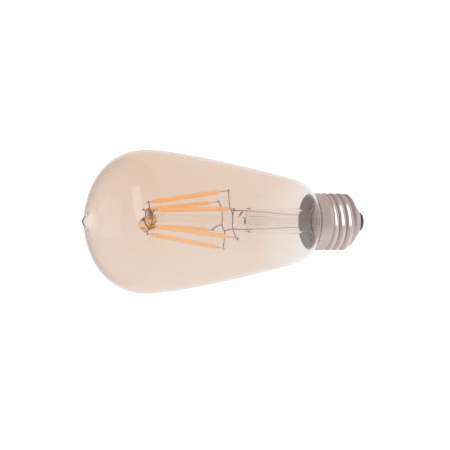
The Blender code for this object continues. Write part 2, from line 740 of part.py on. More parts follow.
def make_sleeve():
    """The insulating sleeve between the driver and the shell, with a hole for the neutral wire."""
    inner, outer = SLEEVE_RADII
    low, high = SLEEVE_Z
    outline = [(inner, high), (inner, low), (outer, low), (outer, high)]
    sleeve = placed("insulating_sleeve", turned("insulating_sleeve", outline, "sleeve_plastic", 32))
    ends = [around(radius, NEUTRAL_WIRE_DEGREES, NEUTRAL_WIRE_Z) for radius in (inner - 1, outer + 1)]
    hole = rod("neutral_hole", *ends, 0.8, "sleeve_plastic", 12)
    boolean(sleeve, helper("neutral_hole", hole), "DIFFERENCE")


def main():
    clear_scene()
    make_bulb()
    make_cap()
    pivot = Matrix.Translation((0, 0, LEAN_PIVOT_Z * MM))
    lean = Matrix.Rotation(math.radians(LEAN_DEGREES), 4, "Y")
    mount = empty("stem_mount", pivot @ lean @ pivot.inverted())
    make_stem(mount)
    make_exhaust_tube(mount)
    make_post(mount)
    joined_wires("hub_ring", hub_meshes("hub", WIRE_RADIUS), mount)
    for side, first, half_turn in (("a", 1, 0), ("b", 4, 180)):
        make_spider(side, first, mount)
        make_leads(side, half_turn, mount)
    for number in range(1, FILAMENTS + 1):
        make_filament(number, mount)
    make_board_parts()
    make_bulk_capacitor()
    make_choke()
    make_fuse_resistor()
    make_wires()
    make_sleeve()


main()
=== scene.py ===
"""Looks for an LED filament lamp: amber glass, a wire cage of filaments, a glass stem and a screw cap.

Shapes are worked out in millimetres in the lamp's own frame, and each mesh is made in metres. The origin is
the middle of the centre contact's face, and +Z runs up the axis to the pip. The stem leans towards +X.
"""

import math

import bpy
import numpy as np
from mathutils import Matrix, Vector


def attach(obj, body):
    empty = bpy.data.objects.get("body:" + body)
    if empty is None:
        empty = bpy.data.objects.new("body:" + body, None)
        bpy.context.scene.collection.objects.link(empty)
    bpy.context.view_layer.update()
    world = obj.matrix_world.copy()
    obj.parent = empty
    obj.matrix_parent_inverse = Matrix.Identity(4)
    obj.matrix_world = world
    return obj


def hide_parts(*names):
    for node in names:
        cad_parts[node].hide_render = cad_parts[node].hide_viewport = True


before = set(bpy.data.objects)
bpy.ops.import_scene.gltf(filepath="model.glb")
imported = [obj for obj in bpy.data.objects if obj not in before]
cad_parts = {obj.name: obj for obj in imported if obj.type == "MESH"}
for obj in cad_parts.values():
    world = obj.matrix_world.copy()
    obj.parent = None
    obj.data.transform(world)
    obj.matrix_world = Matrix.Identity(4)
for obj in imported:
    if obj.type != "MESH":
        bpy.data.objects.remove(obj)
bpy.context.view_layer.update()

MM = 0.001
AROUND = 2 * np.pi

# The bulb
NECK_RADIUS = 11.9
NECK_END_Z = 20.55
RIM_Z = 25.8
BULB_WALL = 0.75

# The cap
SKIRT_RADIUS = 13.05
SHELL_WALL = 0.3
THREAD_PITCH = 3.629
THREAD_RADII = (12.1, 13.15)
THREAD_CREST_Z = 18.8
THREAD_TOP_Z = (21.3, 18.7)
THREAD_FOOT_Z = (7.4, 8.8)
CREASE_Z = 22.2
CREASE_FALL = 0.043  # for each degree round the skirt
CREASE_WIDTH = 0.3
CREASE_DEPTH = 0.2
SHELL_FOOT = (12.2, 7.9)
SHELL_END = (7.0, 3.2)

# The stem and what it carries
LEAN_DEGREES = 1.1
LEAN_PIVOT_Z = 20.0
STEM_RADIUS = 5.8
STEM_BORE = 4.8
PRESS_TOP_Z = 64.6
POST_RADIUS = 1.7
BEAD_RADIUS = 3.6
BEAD_SAG = 3.1
BEAD_Z = 107.0
LEAD_OFFSET = 4.1
DUMET_Z = (56.0, 62.5)
WIRE = 0.2

FILAMENTS = range(1, 7)
HUB_RING = (4.35, 105.9)  # radius and height
TOP_WELD = (7.0, 106.2)
LOW_WELD = (13.2, 68.3)
LOW_WELD_RISE = (0.1, 1.8, -1.3, -0.1, 0.9, -0.5)
TWIST_DEGREES = 8.5
SPIDER = (6.0, 67.6)
WELD_OFFSET = 0.62
PHOSPHOR_LENGTH = 32.3
PHOSPHOR_DROP = 2.2  # from the upper weld to the phosphor's top

# The driver
BOARD_Z = 19.2  # its upper face
BOARD_UNDERSIDE_Z = 18.2
HANGING_Z = 17.9  # the upper end of what hangs under the board

# Glass and light
BULB_BEND = 1.45
STEM_BEND = 1.15
POST_BEND = 1.2
TUBE_BEND = 1.04
AMBER = (0.854, 0.770, 0.702)
AMBER_DEEP = (0.843, 0.736, 0.652)
FADED = (0.90, 0.885, 0.875)
PHOSPHOR_GLOW = 0.22
FLOOR_GLOW = 0.64
FLOOR_Z = -0.65  # metres
LIGHT_BOUNCES = 80

# The camera
CAMERA_ELEVATION = 24.29  # degrees
CAMERA_DISTANCE = 1.2  # metres
CAMERA_FOCAL = 212.64  # mm, on a sensor 36 mm wide


# Shader maths


class Value:
    """A socket that works in Python arithmetic. Each operation adds its Math node."""

    def __init__(self, paint, socket):
        self.paint = paint
        self.socket = socket

    def _math(self, operation, *others):
        values = dict(enumerate((self, *others)))
        return self.paint.node("ShaderNodeMath", {"operation": operation}, values)

    def __add__(self, other):
        return self._math("ADD", other)

    __radd__ = __add__

    def __mul__(self, other):
        return self._math("MULTIPLY", other)

    __rmul__ = __mul__

    def __sub__(self, other):
        return self._math("SUBTRACT", other)

    def __rsub__(self, other):
        return (self * -1) + other

    def __truediv__(self, other):
        return self._math("DIVIDE", other)

    def __pow__(self, other):
        return self._math("POWER", other)

    def at_most(self, other):
        return self._math("MINIMUM", other)

    def sine(self):
        return self._math("SINE")

    def absolute(self):
        return self._math("ABSOLUTE")

    def ramp(self, low, high):
        """0 at low, 1 at high, and smooth between."""
        values = {"Value": self, "From Min": low, "From Max": high}
        return self.paint.node("ShaderNodeMapRange", {"interpolation_type": "SMOOTHSTEP"}, values)


class Paint:
    """One material, or the studio's world, and the nodes that make it."""

    def __init__(self, name, kind="materials"):
        self.made = getattr(bpy.data, kind).new(name)
        self.made.use_nodes = True
        self.tree = self.made.node_tree
        self.tree.nodes.clear()

    def node(self, kind, settings=None, values=None, output=0):
        """Adds a node: settings first, then its sockets' values or links. Returns one or all outputs."""
        made = self.tree.nodes.new(kind)
        for key, setting in (settings or {}).items():
            if key == "stops":
                self._stops(made.color_ramp, setting)
            else:
                setattr(made, key, setting)
        for key, value in (values or {}).items():
            socket = made.inputs[key]
            if isinstance(value, Value):
                self.tree.links.new(value.socket, socket)
            elif isinstance(value, tuple) and len(value) == 3 and socket.type == "RGBA":
                socket.default_value = (*value, 1)
            else:
                socket.default_value = value
        if output == "all":
            return [Value(self, socket) for socket in made.outputs]
        return Value(self, made.outputs[output])

    def _stops(self, ramp, stops):
        while len(ramp.elements) < len(stops):
            ramp.elements.new(1)
        for element, (place, colour) in zip(ramp.elements, stops):
            element.position = place
            element.color = (*colour, 1)

    def place(self):
        """The point on the piece, in metres."""
        return self.node("ShaderNodeTexCoord", output="Object")

    def axes(self):
        """The point's x, y and z, in millimetres."""
        split = self.node("ShaderNodeSeparateXYZ", values={0: self.place()}, output="all")
        return [value / MM for value in split]

    def noise(self, per_mm, detail=3.0, stretch=(1, 1, 1), roughness=0.55):
        """Soft noise from 0 to 1, with about that many blobs to a millimetre."""
        scale = tuple(per_mm / MM * s for s in stretch)
        moved = self.node("ShaderNodeMapping", values={"Vector": self.place(), "Scale": scale})
        values = {"Vector": moved, "Scale": 1.0, "Detail": detail, "Roughness": roughness}
        return self.node("ShaderNodeTexNoise", values=values, output="Fac")

    def mix(self, amount, low, high):
        """A colour between two colours."""
        values = {0: amount, 6: low, 7: high}
        return self.node("ShaderNodeMix", {"data_type": "RGBA"}, values, output=2)

    def bump(self, height, depth_mm):
        values = {"Height": height, "Distance": depth_mm * MM, "Strength": 1.0}
        return self.node("ShaderNodeBump", values=values)

    def principled(self, **values):
        names = {key.replace("_", " ").title().replace("Ior", "IOR"): value for key, value in values.items()}
        return self.node("ShaderNodeBsdfPrincipled", values=names)

    def finish(self, surface, kind="ShaderNodeOutputMaterial"):
        self.node(kind, values={"Surface": surface}, output="all")
        return self.made


def glass(paint, colour, bend):
    """Refracting glass that lets light through to what is inside. Bend is its index of refraction."""
    body = paint.principled(base_color=colour, transmission_weight=1.0, ior=bend, roughness=0.0)
    through = paint.node("ShaderNodeBsdfTransparent", values={"Color": (0.985, 0.965, 0.945)})
    shadow = paint.node("ShaderNodeLightPath", output="Is Shadow Ray")
    return paint.finish(paint.node("ShaderNodeMixShader", values={0: shadow, 1: body, 2: through}))


def amber_glass():
    """Amber lustre, a little uneven, that fades out above the neck."""
    paint = Paint("amber_glass")
    x, _, z = paint.axes()
    cloud = paint.noise(0.035, 2.0)
    coat = (z + (cloud - 0.5) * 10 + x * 0.15).ramp(29, 46)
    depth = (x + (cloud - 0.5) * 14).ramp(-22, 26)
    colour = paint.mix(coat, FADED, paint.mix(depth, AMBER, AMBER_DEEP))
    # Painted light: the glass turns nearly clear at the pip's tip, so that the tip renders lighter.
    tip = z.ramp(133.2, 135.0)
    return glass(paint, paint.mix(tip, colour, (0.985, 0.97, 0.955)), BULB_BEND)


def clear_glass():
    """Drawn tubing: clear, with faint streaks along its length."""
    paint = Paint("clear_glass")
    streak = paint.noise(0.12, 3.0, (1, 1, 0.08))
    colour = paint.mix(streak.ramp(0.3, 0.7), (0.975, 0.965, 0.955), (0.955, 0.945, 0.94))
    return glass(paint, colour, STEM_BEND)


def tube_glass():
    """The pumping tube's thin clear wall."""
    paint = Paint("tube_glass")
    streak = paint.noise(0.15, 3.0, (1, 1, 0.08)).ramp(0.3, 0.7)
    return glass(paint, paint.mix(streak, (0.99, 0.98, 0.98), (0.97, 0.96, 0.965)), TUBE_BEND)


def post_glass():
    """A clear rod whose bead is painted with shade and reflection: brown, darker in an upper lobe, and a
    painted orange reflection of the filaments on the drip.
    """
    paint = Paint("post_glass")
    x, _, z = paint.axes()
    # Painted shade: the bead is browned from here up, for the dark surroundings that it refracts.
    bead_brown = z.ramp(101.0, 103.5)
    cloud = paint.noise(0.9, 3.0)
    brown = paint.mix(cloud.ramp(0.4, 0.7), (0.90, 0.72, 0.52), (0.70, 0.47, 0.30))
    # Painted shade: a darker patch in the bead's upper lobe.
    lobe_shade = z.ramp(103.0, 104.0) * x.ramp(0.4, 1.6)
    brown = paint.mix(lobe_shade * cloud.ramp(0.3, 0.55), brown, (0.42, 0.24, 0.10))
    # Painted reflection: the filaments' orange laid on the drip.
    drip = z.ramp(101.8, 103.0) * z.ramp(106.2, 105.2) * x.ramp(-0.4, -1.2)
    brown = paint.mix(drip, brown, (1.0, 0.54, 0.04))
    return glass(paint, paint.mix(bead_brown, (0.975, 0.955, 0.94), brown), POST_BEND)


def phosphor():
    """Orange phosphor in silicone, slightly grainy, deeper where it is thick, with a faint painted glow."""
    paint = Paint("phosphor")
    x, _, z = paint.axes()
    grain = paint.noise(2.2, 4.0)
    side = (x + paint.noise(0.25, 2.0) * 4).ramp(-8, 8)
    colour = paint.mix(side, (0.99, 0.66, 0.38), (0.98, 0.59, 0.27))
    colour = paint.mix(grain.ramp(0.45, 0.8) * 0.4, colour, (1.0, 0.70, 0.42))
    thin_end = (z.ramp(102.8, 104.2) + z.ramp(73.4, 71.8)).at_most(1.0)
    colour = paint.mix(thin_end * 0.6, colour, (1.0, 0.76, 0.58))
    return paint.finish(
        paint.principled(
            base_color=colour,
            roughness=grain * 0.15 + 0.5,
            # Painted light: the phosphor glows faintly, which brightens it.
            emission_color=colour,
            emission_strength=PHOSPHOR_GLOW,
            normal=paint.bump(grain, 0.02),
        )
    )


def metal(name, light, dark, roughness):
    """Plated or drawn metal with a faint grain, dull stains and a roughness that follows them."""
    paint = Paint(name)
    fine = paint.noise(2.4, 5.0)
    stain = paint.noise(0.2, 3.0).ramp(0.35, 0.7)
    return paint.finish(
        paint.principled(
            base_color=paint.mix(stain * 0.8, light, dark),
            metallic=1.0,
            roughness=(stain * 0.12 + fine * 0.08 + roughness).at_most(1.0),
            normal=paint.bump(fine, 0.004),
        )
    )


def nickel_wire():
    """Grey wire, browned where it runs through the bead."""
    paint = Paint("nickel_wire")
    x, _, z = paint.axes()
    drawn = paint.noise(2.4, 5.0, (1, 1, 0.2))
    bead_brown = z.ramp(103.5, 104.5) * (x - 1.2).ramp(1.5, -1.5)
    grey = paint.mix(drawn.ramp(0.35, 0.7), (0.30, 0.27, 0.32), (0.20, 0.17, 0.20))
    return paint.finish(
        paint.principled(
            base_color=paint.mix(bead_brown, grey, (0.20, 0.055, 0.045)),
            metallic=bead_brown * -0.9 + 1.0,
            roughness=drawn * 0.12 + bead_brown * 0.25 + 0.34,
            normal=paint.bump(drawn, 0.004),
        )
    )


def dull(name, light, dark, roughness, per_mm=1.0, depth=0.02, coat=0.0):
    """Plastic, ceramic or cement: two close colours in soft blotches, with a fine bump."""
    paint = Paint(name)
    fine = paint.noise(per_mm * 3, 4.0)
    blotch = paint.noise(per_mm * 0.4, 3.0).ramp(0.3, 0.7)
    return paint.finish(
        paint.principled(
            base_color=paint.mix(blotch, light, dark),
            roughness=fine * 0.15 + roughness,
            coat_weight=coat,
            normal=paint.bump(fine, depth),
        )
    )


def board_mask():
    """Olive solder mask over tracks that wander on a grid, with bare pads."""
    paint = Paint("board")
    x, y, _ = paint.axes()
    track = (x * 1.9).sine() * (y * 1.4).sine()
    line = track.absolute().ramp(0.16, 0.08)
    cloud = paint.noise(0.3, 3.0)
    mask = paint.mix(cloud.ramp(0.3, 0.7), (0.66, 0.62, 0.50), (0.72, 0.68, 0.57))
    colour = paint.mix(line * 0.5, mask, (0.42, 0.41, 0.31))
    return paint.finish(
        paint.principled(base_color=colour, roughness=0.45, coat_weight=0.3, normal=paint.bump(line, 0.03))
    )


def nickel_plate():
    """Warm nickel in blotches of a brown film, with fine scratches round the axis: a painted highlight
    lightens the thread's crests, painted shade darkens its roots and the foot, and inside the skirt the wall
    is painted with reflection and shade.
    """
    paint = Paint("nickel_plate")
    x, y, z = paint.axes()
    radius = (x * x + y * y) ** 0.5
    # Painted shade: the thread's roots are darkened.
    root = radius.ramp(12.9, 12.2) * z.ramp(7.6, 9.0)
    inside = radius.ramp(SKIRT_RADIUS - 0.19, SKIRT_RADIUS - 0.27) * z.ramp(19.6, 20.2)
    scratch = paint.noise(1.2, 4.0, (0.3, 0.3, 6))
    film = paint.noise(0.12, 3.0).ramp(0.35, 0.7)
    colour = paint.mix(film * 0.7, (0.70, 0.60, 0.56), (0.62, 0.50, 0.46))
    colour = paint.mix(root * 0.45, colour, (0.42, 0.32, 0.30))
    # Painted highlight: lighter on the thread's crests.
    crest_highlight = radius.ramp(12.7, 13.1) * z.ramp(19.6, 18.6)
    colour = paint.mix(crest_highlight * 0.8, colour, (0.84, 0.75, 0.71))
    # Painted shade: darker on the foot.
    colour = paint.mix(z.ramp(8.6, 7.2), colour, (0.55, 0.46, 0.44))
    # Painted reflection and shade inside the skirt: the wall is bluish towards -X and brown towards +X; it
    # turns dark brown at the rim.
    wall = paint.mix((x + film * 6).ramp(2.5, 8.5), (0.72, 0.82, 1.0), (0.60, 0.50, 0.49))
    wall = paint.mix(z.ramp(25.0, 25.6), wall, (0.42, 0.28, 0.22))
    colour = paint.mix(inside, colour, wall)
    return paint.finish(
        paint.principled(
            base_color=colour,
            metallic=inside * -0.8 + 1.0,
            roughness=film * 0.06 + scratch * 0.06 + inside * 0.2 + 0.17,
            normal=paint.bump(scratch, 0.002),
        )
    )


def make_finishes():
    """One material for each of the record's slots, and the few more that single pieces need."""
    return {
        "amber_glass": amber_glass(),
        "clear_glass": clear_glass(),
        "post_glass": post_glass(),
        "tube_glass": tube_glass(),
        "nickel_wire": nickel_wire(),
        "lead_wire": metal("lead_wire", (0.58, 0.49, 0.54), (0.44, 0.36, 0.42), 0.35),
        "pin_plate": metal("pin_plate", (0.80, 0.70, 0.66), (0.66, 0.56, 0.54), 0.3),
        "dumet": metal("dumet", (0.50, 0.16, 0.16), (0.32, 0.12, 0.15), 0.35),
        # Painted shadow: the dark teal of the press's folds.
        "fold_shadow": dull("fold_shadow", (0.05, 0.15, 0.18), (0.10, 0.21, 0.24), 0.3),
        "speck": dull("speck", (0.30, 0.14, 0.10), (0.18, 0.08, 0.08), 0.5),
        "phosphor": phosphor(),
        "ceramic_strip": dull("ceramic_strip", (0.90, 0.88, 0.82), (0.82, 0.80, 0.74), 0.45),
        "nickel_plate": nickel_plate(),
        "black_glass": dull("black_glass", (0.012, 0.012, 0.018), (0.03, 0.03, 0.04), 0.08, 0.5, 0.004, 0.6),
        "contact_metal": metal("contact_metal", (0.20, 0.18, 0.21), (0.10, 0.09, 0.11), 0.28),
        "cement": dull("cement", (0.36, 0.24, 0.15), (0.24, 0.16, 0.10), 0.75, 1.0, 0.08),
        "sleeve_plastic": dull("sleeve_plastic", (0.80, 0.80, 0.76), (0.74, 0.74, 0.70), 0.4),
        "board": board_mask(),
        "tin_can": metal("tin_can", (0.72, 0.72, 0.70), (0.60, 0.60, 0.58), 0.25),
        "black_epoxy": dull("black_epoxy", (0.025, 0.025, 0.027), (0.04, 0.04, 0.04), 0.5, 2.0),
        "antenna_ceramic": dull("antenna_ceramic", (0.72, 0.70, 0.62), (0.64, 0.62, 0.55), 0.4, 2.0),
        "ceramic_chip": dull("ceramic_chip", (0.50, 0.37, 0.23), (0.42, 0.30, 0.18), 0.4, 1.5),
        "capacitor_film": dull(
            "capacitor_film", (0.04, 0.05, 0.08), (0.06, 0.07, 0.10), 0.25, depth=0.01, coat=0.4
        ),
        "rubber": dull("rubber", (0.04, 0.04, 0.04), (0.06, 0.06, 0.06), 0.75, 2.0),
        "ferrite": dull("ferrite", (0.07, 0.07, 0.075), (0.11, 0.11, 0.115), 0.6, 1.5, 0.04),
        "copper": metal("copper", (0.72, 0.34, 0.16), (0.52, 0.20, 0.09), 0.22),
        "resistor_coat": dull("resistor_coat", (0.16, 0.38, 0.42), (0.12, 0.32, 0.36), 0.3, 1.0, 0.02, 0.4),
        "red_insulation": dull("red_insulation", (0.52, 0.04, 0.03), (0.44, 0.03, 0.03), 0.35),
    }


# Mesh work


def smoothstep(low, high, value):
    t = np.clip((value - low) / (high - low), 0, 1)
    return t * t * (3 - 2 * t)


def bezier(corners, steps):
    """Points of a cubic Bezier curve."""
    t = np.linspace(0, 1, steps + 1)[:, None]
    a, b, c, d = np.asarray(corners, dtype=float)
    return (1 - t) ** 3 * a + 3 * (1 - t) ** 2 * t * b + 3 * (1 - t) * t**2 * c + t**3 * d


def through(points, steps):
    """A Catmull-Rom curve through the points, with that many steps between each two."""
    p = np.asarray(points, dtype=float)
    p = np.vstack([2 * p[0] - p[1], p, 2 * p[-1] - p[-2]])
    t = (np.arange(steps) / steps)[None, :, None]
    a, b, c, d = (p[i : len(p) - 3 + i, None, :] for i in range(4))
    curve = 0.5 * (2 * b + (c - a) * t + (2 * a - 5 * b + 4 * c - d) * t**2 + (3 * b - a - 3 * c + d) * t**3)
    return np.vstack([curve.reshape(-1, p.shape[1]), p[-2]])


def chain(*curves):
    """Curves end to end, each without the point that the one before ends on."""
    return np.vstack([curves[0], *(curve[1:] for curve in curves[1:])])


def around(radius, degrees, z):
    """A point at that radius and angle from +X."""
    angle = np.radians(degrees)
    return np.array([radius * np.cos(angle), radius * np.sin(angle), z])


def lean(points):
    """Points of the upright stem turned about the pivot, as the real one leans."""
    angle = math.radians(LEAN_DEGREES)
    p = np.asarray(points, dtype=float) - (0, 0, LEAN_PIVOT_Z)
    x = p[..., 0] * math.cos(angle) + p[..., 2] * math.sin(angle)
    z = p[..., 2] * math.cos(angle) - p[..., 0] * math.sin(angle)
    return np.stack([x, p[..., 1], z + LEAN_PIVOT_Z], axis=-1)


def surface(rings, ends="caps"):
    """Points and faces of a closed surface through rings of equal count, facing out.

    Each ring closes on itself. "caps" closes the two ends with fans to their middles, and "loop" joins the
    last ring to the first.
    """
    rings = np.asarray(rings, dtype=float)
    rows, columns, _ = rings.shape
    index = np.arange(rows * columns).reshape(rows, columns)
    low = index if ends == "loop" else index[:-1]
    high = np.roll(index, -1, axis=0) if ends == "loop" else index[1:]
    quads = np.stack([low, np.roll(low, -1, 1), np.roll(high, -1, 1), high], axis=-1).reshape(-1, 4)
    points = rings.reshape(-1, 3)
    fans = np.zeros((0, 3), dtype=int)
    if ends == "caps":
        points = np.vstack([points, rings[[0, -1]].mean(axis=1)])
        first, last = rows * columns, rows * columns + 1
        bottom = np.stack([np.roll(index[0], -1), index[0], np.full(columns, first)], axis=1)
        top = np.stack([index[-1], np.roll(index[-1], -1), np.full(columns, last)], axis=1)
        fans = np.vstack([bottom, top])
    triangles = np.vstack([quads[:, [0, 1, 2]], quads[:, [0, 2, 3]], fans])
    a, b, c = (points[triangles[:, k]] for k in range(3))
    if np.einsum("ij,ij->i", a, np.cross(b, c)).sum() < 0:
        quads, fans = quads[:, ::-1], fans[:, ::-1]
    return points, quads, fans


def piece(name, slot, surfaces, nodes=(), sharp=40, finish=None):
    """A named piece made of one or more closed surfaces, which rides on the lamp and replaces the nodes."""
    points, faces, start = [], [], 0
    for some_points, quads, fans in surfaces:
        points.append(some_points)
        faces += (quads + start).tolist() + (fans + start).tolist()
        start += len(some_points)
    mesh = bpy.data.meshes.new(name)
    mesh.from_pydata((np.vstack(points) * MM).tolist(), [], faces)
    mesh.materials.append(FINISHES[finish or slot])
    mesh.shade_smooth()
    mesh.set_sharp_from_angle(angle=math.radians(sharp))
    made = bpy.data.objects.new(name, mesh)
    bpy.context.scene.collection.objects.link(made)
    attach(made, "root")
    if nodes:
        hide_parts(*nodes)
    return made


def turned(profile, columns=128, ends="loop"):
    """A profile of (radius, z) turned round the axis: x = r cos a, y = r sin a."""
    profile = np.asarray(profile, dtype=float)
    angle = np.arange(columns) / columns * AROUND
    radius, z = profile[:, :1], profile[:, 1:]
    return surface(np.stack([radius * np.cos(angle), radius * np.sin(angle), z + 0 * angle], axis=-1), ends)


def along(path, section):
    """Rings of a section carried along a path and kept upright to it.

    The section is (k, 2) or (points, k, 2): its first number lies along the side, and its second across.
    """
    path = np.asarray(path, dtype=float)
    tangent = np.gradient(path, axis=0)
    tangent /= np.linalg.norm(tangent, axis=1, keepdims=True)
    reference = np.eye(3)[np.abs(tangent).max(axis=0).argmin()]
    side = np.cross(tangent, reference)
    side /= np.linalg.norm(side, axis=1, keepdims=True)
    across = np.cross(tangent, side)
    section = np.broadcast_to(section, (len(path), *np.shape(section)[-2:]))
    return path[:, None] + section[..., :1] * side[:, None] + section[..., 1:] * across[:, None]


def circle(sides):
    angle = np.arange(sides) / sides * AROUND
    return np.stack([np.cos(angle), np.sin(angle)], axis=1)


def tube(path, radius, sides=16, rounded=True):
    """A wire along a path, with rounded ends: the last ring of each end is drawn in."""
    path = np.asarray(path, dtype=float)
    radii = np.broadcast_to(np.asarray(radius, dtype=float), (len(path),))
    if rounded:
        bulge = np.array([0.3, 0.7, 0.95])
        step = np.array([0.0, 0.25, 0.65])
        first, last = path[0] - path[1], path[-1] - path[-2]
        first, last = first / np.linalg.norm(first), last / np.linalg.norm(last)
        head = path[0] - first * radii[0] * step[:, None]
        tail = path[-1] - last * radii[-1] * step[::-1, None]
        inner = (np.linalg.norm(path - path[0], axis=1) > radii[0]) & (
            np.linalg.norm(path - path[-1], axis=1) > radii[-1]
        )
        radii = np.r_[bulge * radii[0], radii[inner], bulge[::-1] * radii[-1]]
        path = np.vstack([head, path[inner], tail])
    return surface(along(path, circle(sides)[None] * radii[:, None, None]))


def ring_wire(path, radius, sides=16):
    """A wire whose path closes on itself. Its frames stand on the Z direction."""
    tangent = np.roll(path, -1, 0) - np.roll(path, 1, 0)
    tangent /= np.linalg.norm(tangent, axis=1, keepdims=True)
    side = np.cross(tangent, (0, 0, 1))
    side /= np.linalg.norm(side, axis=1, keepdims=True)
    across = np.cross(tangent, side)
    section = circle(sides)[None] * radius
    rings = path[:, None] + section[..., :1] * side[:, None] + section[..., 1:] * across[:, None]
    return surface(rings, "loop")


def superellipse(half_width, half_depth, squareness, sides):
    """Points of |x/a|^n + |y/b|^n = 1, for arrays of a, b and n."""
    angle = np.arange(sides) / sides * AROUND
    c, s = np.cos(angle), np.sin(angle)
    power = 2 / np.asarray(squareness, dtype=float)[..., None]
    x = np.sign(c) * np.abs(c) ** power * np.asarray(half_width)[..., None]
    y = np.sign(s) * np.abs(s) ** power * np.asarray(half_depth)[..., None]
    return np.stack([x, y], axis=-1)


def slab(size, centre, bevel=0.12, sides=48):
    """A block with rounded edges: superellipse rings that draw in at the bottom and the top."""
    width, depth, height = size
    inset = np.array([bevel, bevel * 0.3, 0, 0, bevel * 0.3, bevel])
    z = np.array([0, bevel * 0.3, bevel, height - bevel, height - bevel * 0.3, height]) - height / 2
    rings = superellipse(width / 2 - inset, depth / 2 - inset, np.full(6, 14.0), sides)
    rings = np.concatenate([rings, np.broadcast_to(z[:, None, None], (6, sides, 1))], axis=-1)
    return surface(rings + np.asarray(centre))


# The bulb


def bulb_profile():
    """The outer outline from the neck's end over the shoulder, flank and dome to the pip's tip."""
    neck_top, over_rim = (NECK_RADIUS, RIM_Z - 1.2), (12.9, RIM_Z + 0.7)
    shoulder, widest = (19.6, 35.6), (32.0, 106.6)
    pip_foot, pip_waist, tip = (5.8, 134.3), (2.9, 135.85), (0.02, 137.58)
    return chain(
        np.array([(NECK_RADIUS - 0.35, NECK_END_Z), (NECK_RADIUS, NECK_END_Z + 0.8), neck_top]),
        bezier([neck_top, (NECK_RADIUS, RIM_Z), (12.2, RIM_Z + 0.5), over_rim], 16),
        bezier([over_rim, (16.3, 27.5), (18.4, 30.4), shoulder], 24),
        bezier([shoulder, (24.4, 55.4), (32.0, 92.9), widest], 60),
        bezier([widest, (32.0, 124.1), (19.5, 130.3), pip_foot], 60),
        bezier([pip_foot, (4.9, 134.57), (3.7, 135.15), pip_waist], 14),
        bezier([pip_waist, (2.2, 136.45), (1.4, 137.58), tip], 24),
    )


def moved_in(profile, wall):
    """The profile moved towards the inside along its normals, by a wall for each point."""
    tangent = np.gradient(profile, axis=0)
    tangent /= np.linalg.norm(tangent, axis=1, keepdims=True)
    return profile + np.stack([-tangent[:, 1], tangent[:, 0]], axis=1) * np.asarray(wall)[:, None]


def make_bulb():
    """Two walls joined at the neck's end. The inner wall closes in a narrow hollow under the pip."""
    outer = bulb_profile()
    inner = moved_in(outer, np.full(len(outer), BULB_WALL))
    inner = inner[inner[:, 1] < 132.0]
    hollow = chain(
        bezier([inner[-1], inner[-1] + (inner[-1] - inner[-2]) * 3, (5.4, 133.45), (4.2, 133.8)], 10),
        bezier([(4.2, 133.8), (2.9, 134.18), (1.9, 134.9), (1.3, 135.6)], 10),
        bezier([(1.3, 135.6), (1.0, 136.1), (0.5, 136.4), (0.02, 136.4)], 8),
    )
    profile = np.vstack([outer[::-1], inner, hollow[1:]])
    piece("glass_bulb", "amber_glass", [turned(profile, 224, "caps")], ["glass_envelope"], 60)


# The cap


def offset_inwards(grid, wall):
    """The grid's points moved by the wall along the surface's normals, towards the axis."""
    round_it = np.roll(grid, -1, 1) - np.roll(grid, 1, 1)
    down_it = np.gradient(grid, axis=0)
    normal = np.cross(round_it, down_it)
    normal /= np.linalg.norm(normal, axis=2, keepdims=True)
    outward = np.sign((normal[..., :2] * grid[..., :2]).sum(axis=2))[..., None]
    return grid - normal * outward * wall


def make_shell(columns=192, rows_per_turn=18):
    """The skirt, the rolled thread and the foot, as a shell of even wall.

    On the thread, radius = middle + depth cos(turns of pitch - angle). It fades out at the skirt, and its
    last turn runs out on the foot. A crease slants across the skirt: a Gaussian in height.
    """
    angle = np.arange(columns) / columns * AROUND
    z = np.arange(RIM_Z, SHELL_FOOT[1], -THREAD_PITCH / rows_per_turn)[:, None]
    middle, depth = sum(THREAD_RADII) / 2, (THREAD_RADII[1] - THREAD_RADII[0]) / 2
    wave = np.cos(AROUND * (z - THREAD_CREST_Z) / THREAD_PITCH - angle)
    begun = smoothstep(*THREAD_TOP_Z, z)
    full = begun * smoothstep(*THREAD_FOOT_Z, z)
    plain = SKIRT_RADIUS + (SHELL_FOOT[0] - SKIRT_RADIUS) * smoothstep(SHELL_FOOT[1] + 3.4, SHELL_FOOT[1], z)
    radius = plain * (1 - full) + middle * full + depth * wave * begun
    turned_by = np.degrees((-angle) % AROUND)
    crease_z = CREASE_Z - (turned_by - 30) * CREASE_FALL
    crease = np.exp(-(((z - crease_z) / CREASE_WIDTH) ** 2))
    crease *= smoothstep(14, 30, turned_by) * smoothstep(82, 66, turned_by)
    radius -= CREASE_DEPTH * crease
    foot = bezier([SHELL_FOOT, (11.3, 7.2), (8.8, 5.0), SHELL_END], 14)
    foot_wave = np.cos(AROUND * (foot[:, 1:] - THREAD_CREST_Z) / THREAD_PITCH - angle)
    last_turn = depth * foot_wave * smoothstep(5.4, 7.3, foot[:, 1:])
    radius = np.vstack([radius, foot[:, :1] + last_turn])
    z = np.vstack([np.repeat(z, columns, axis=1), np.repeat(foot[:, 1:], columns, axis=1)])
    outer = np.stack([radius * np.cos(angle), radius * np.sin(angle), z], axis=-1)
    inner = offset_inwards(outer, SHELL_WALL)
    wall = surface(np.concatenate([outer, inner[::-1]]), "loop")
    piece("screw_cap_shell", "nickel_plate", [wall], ["screw_shell"])


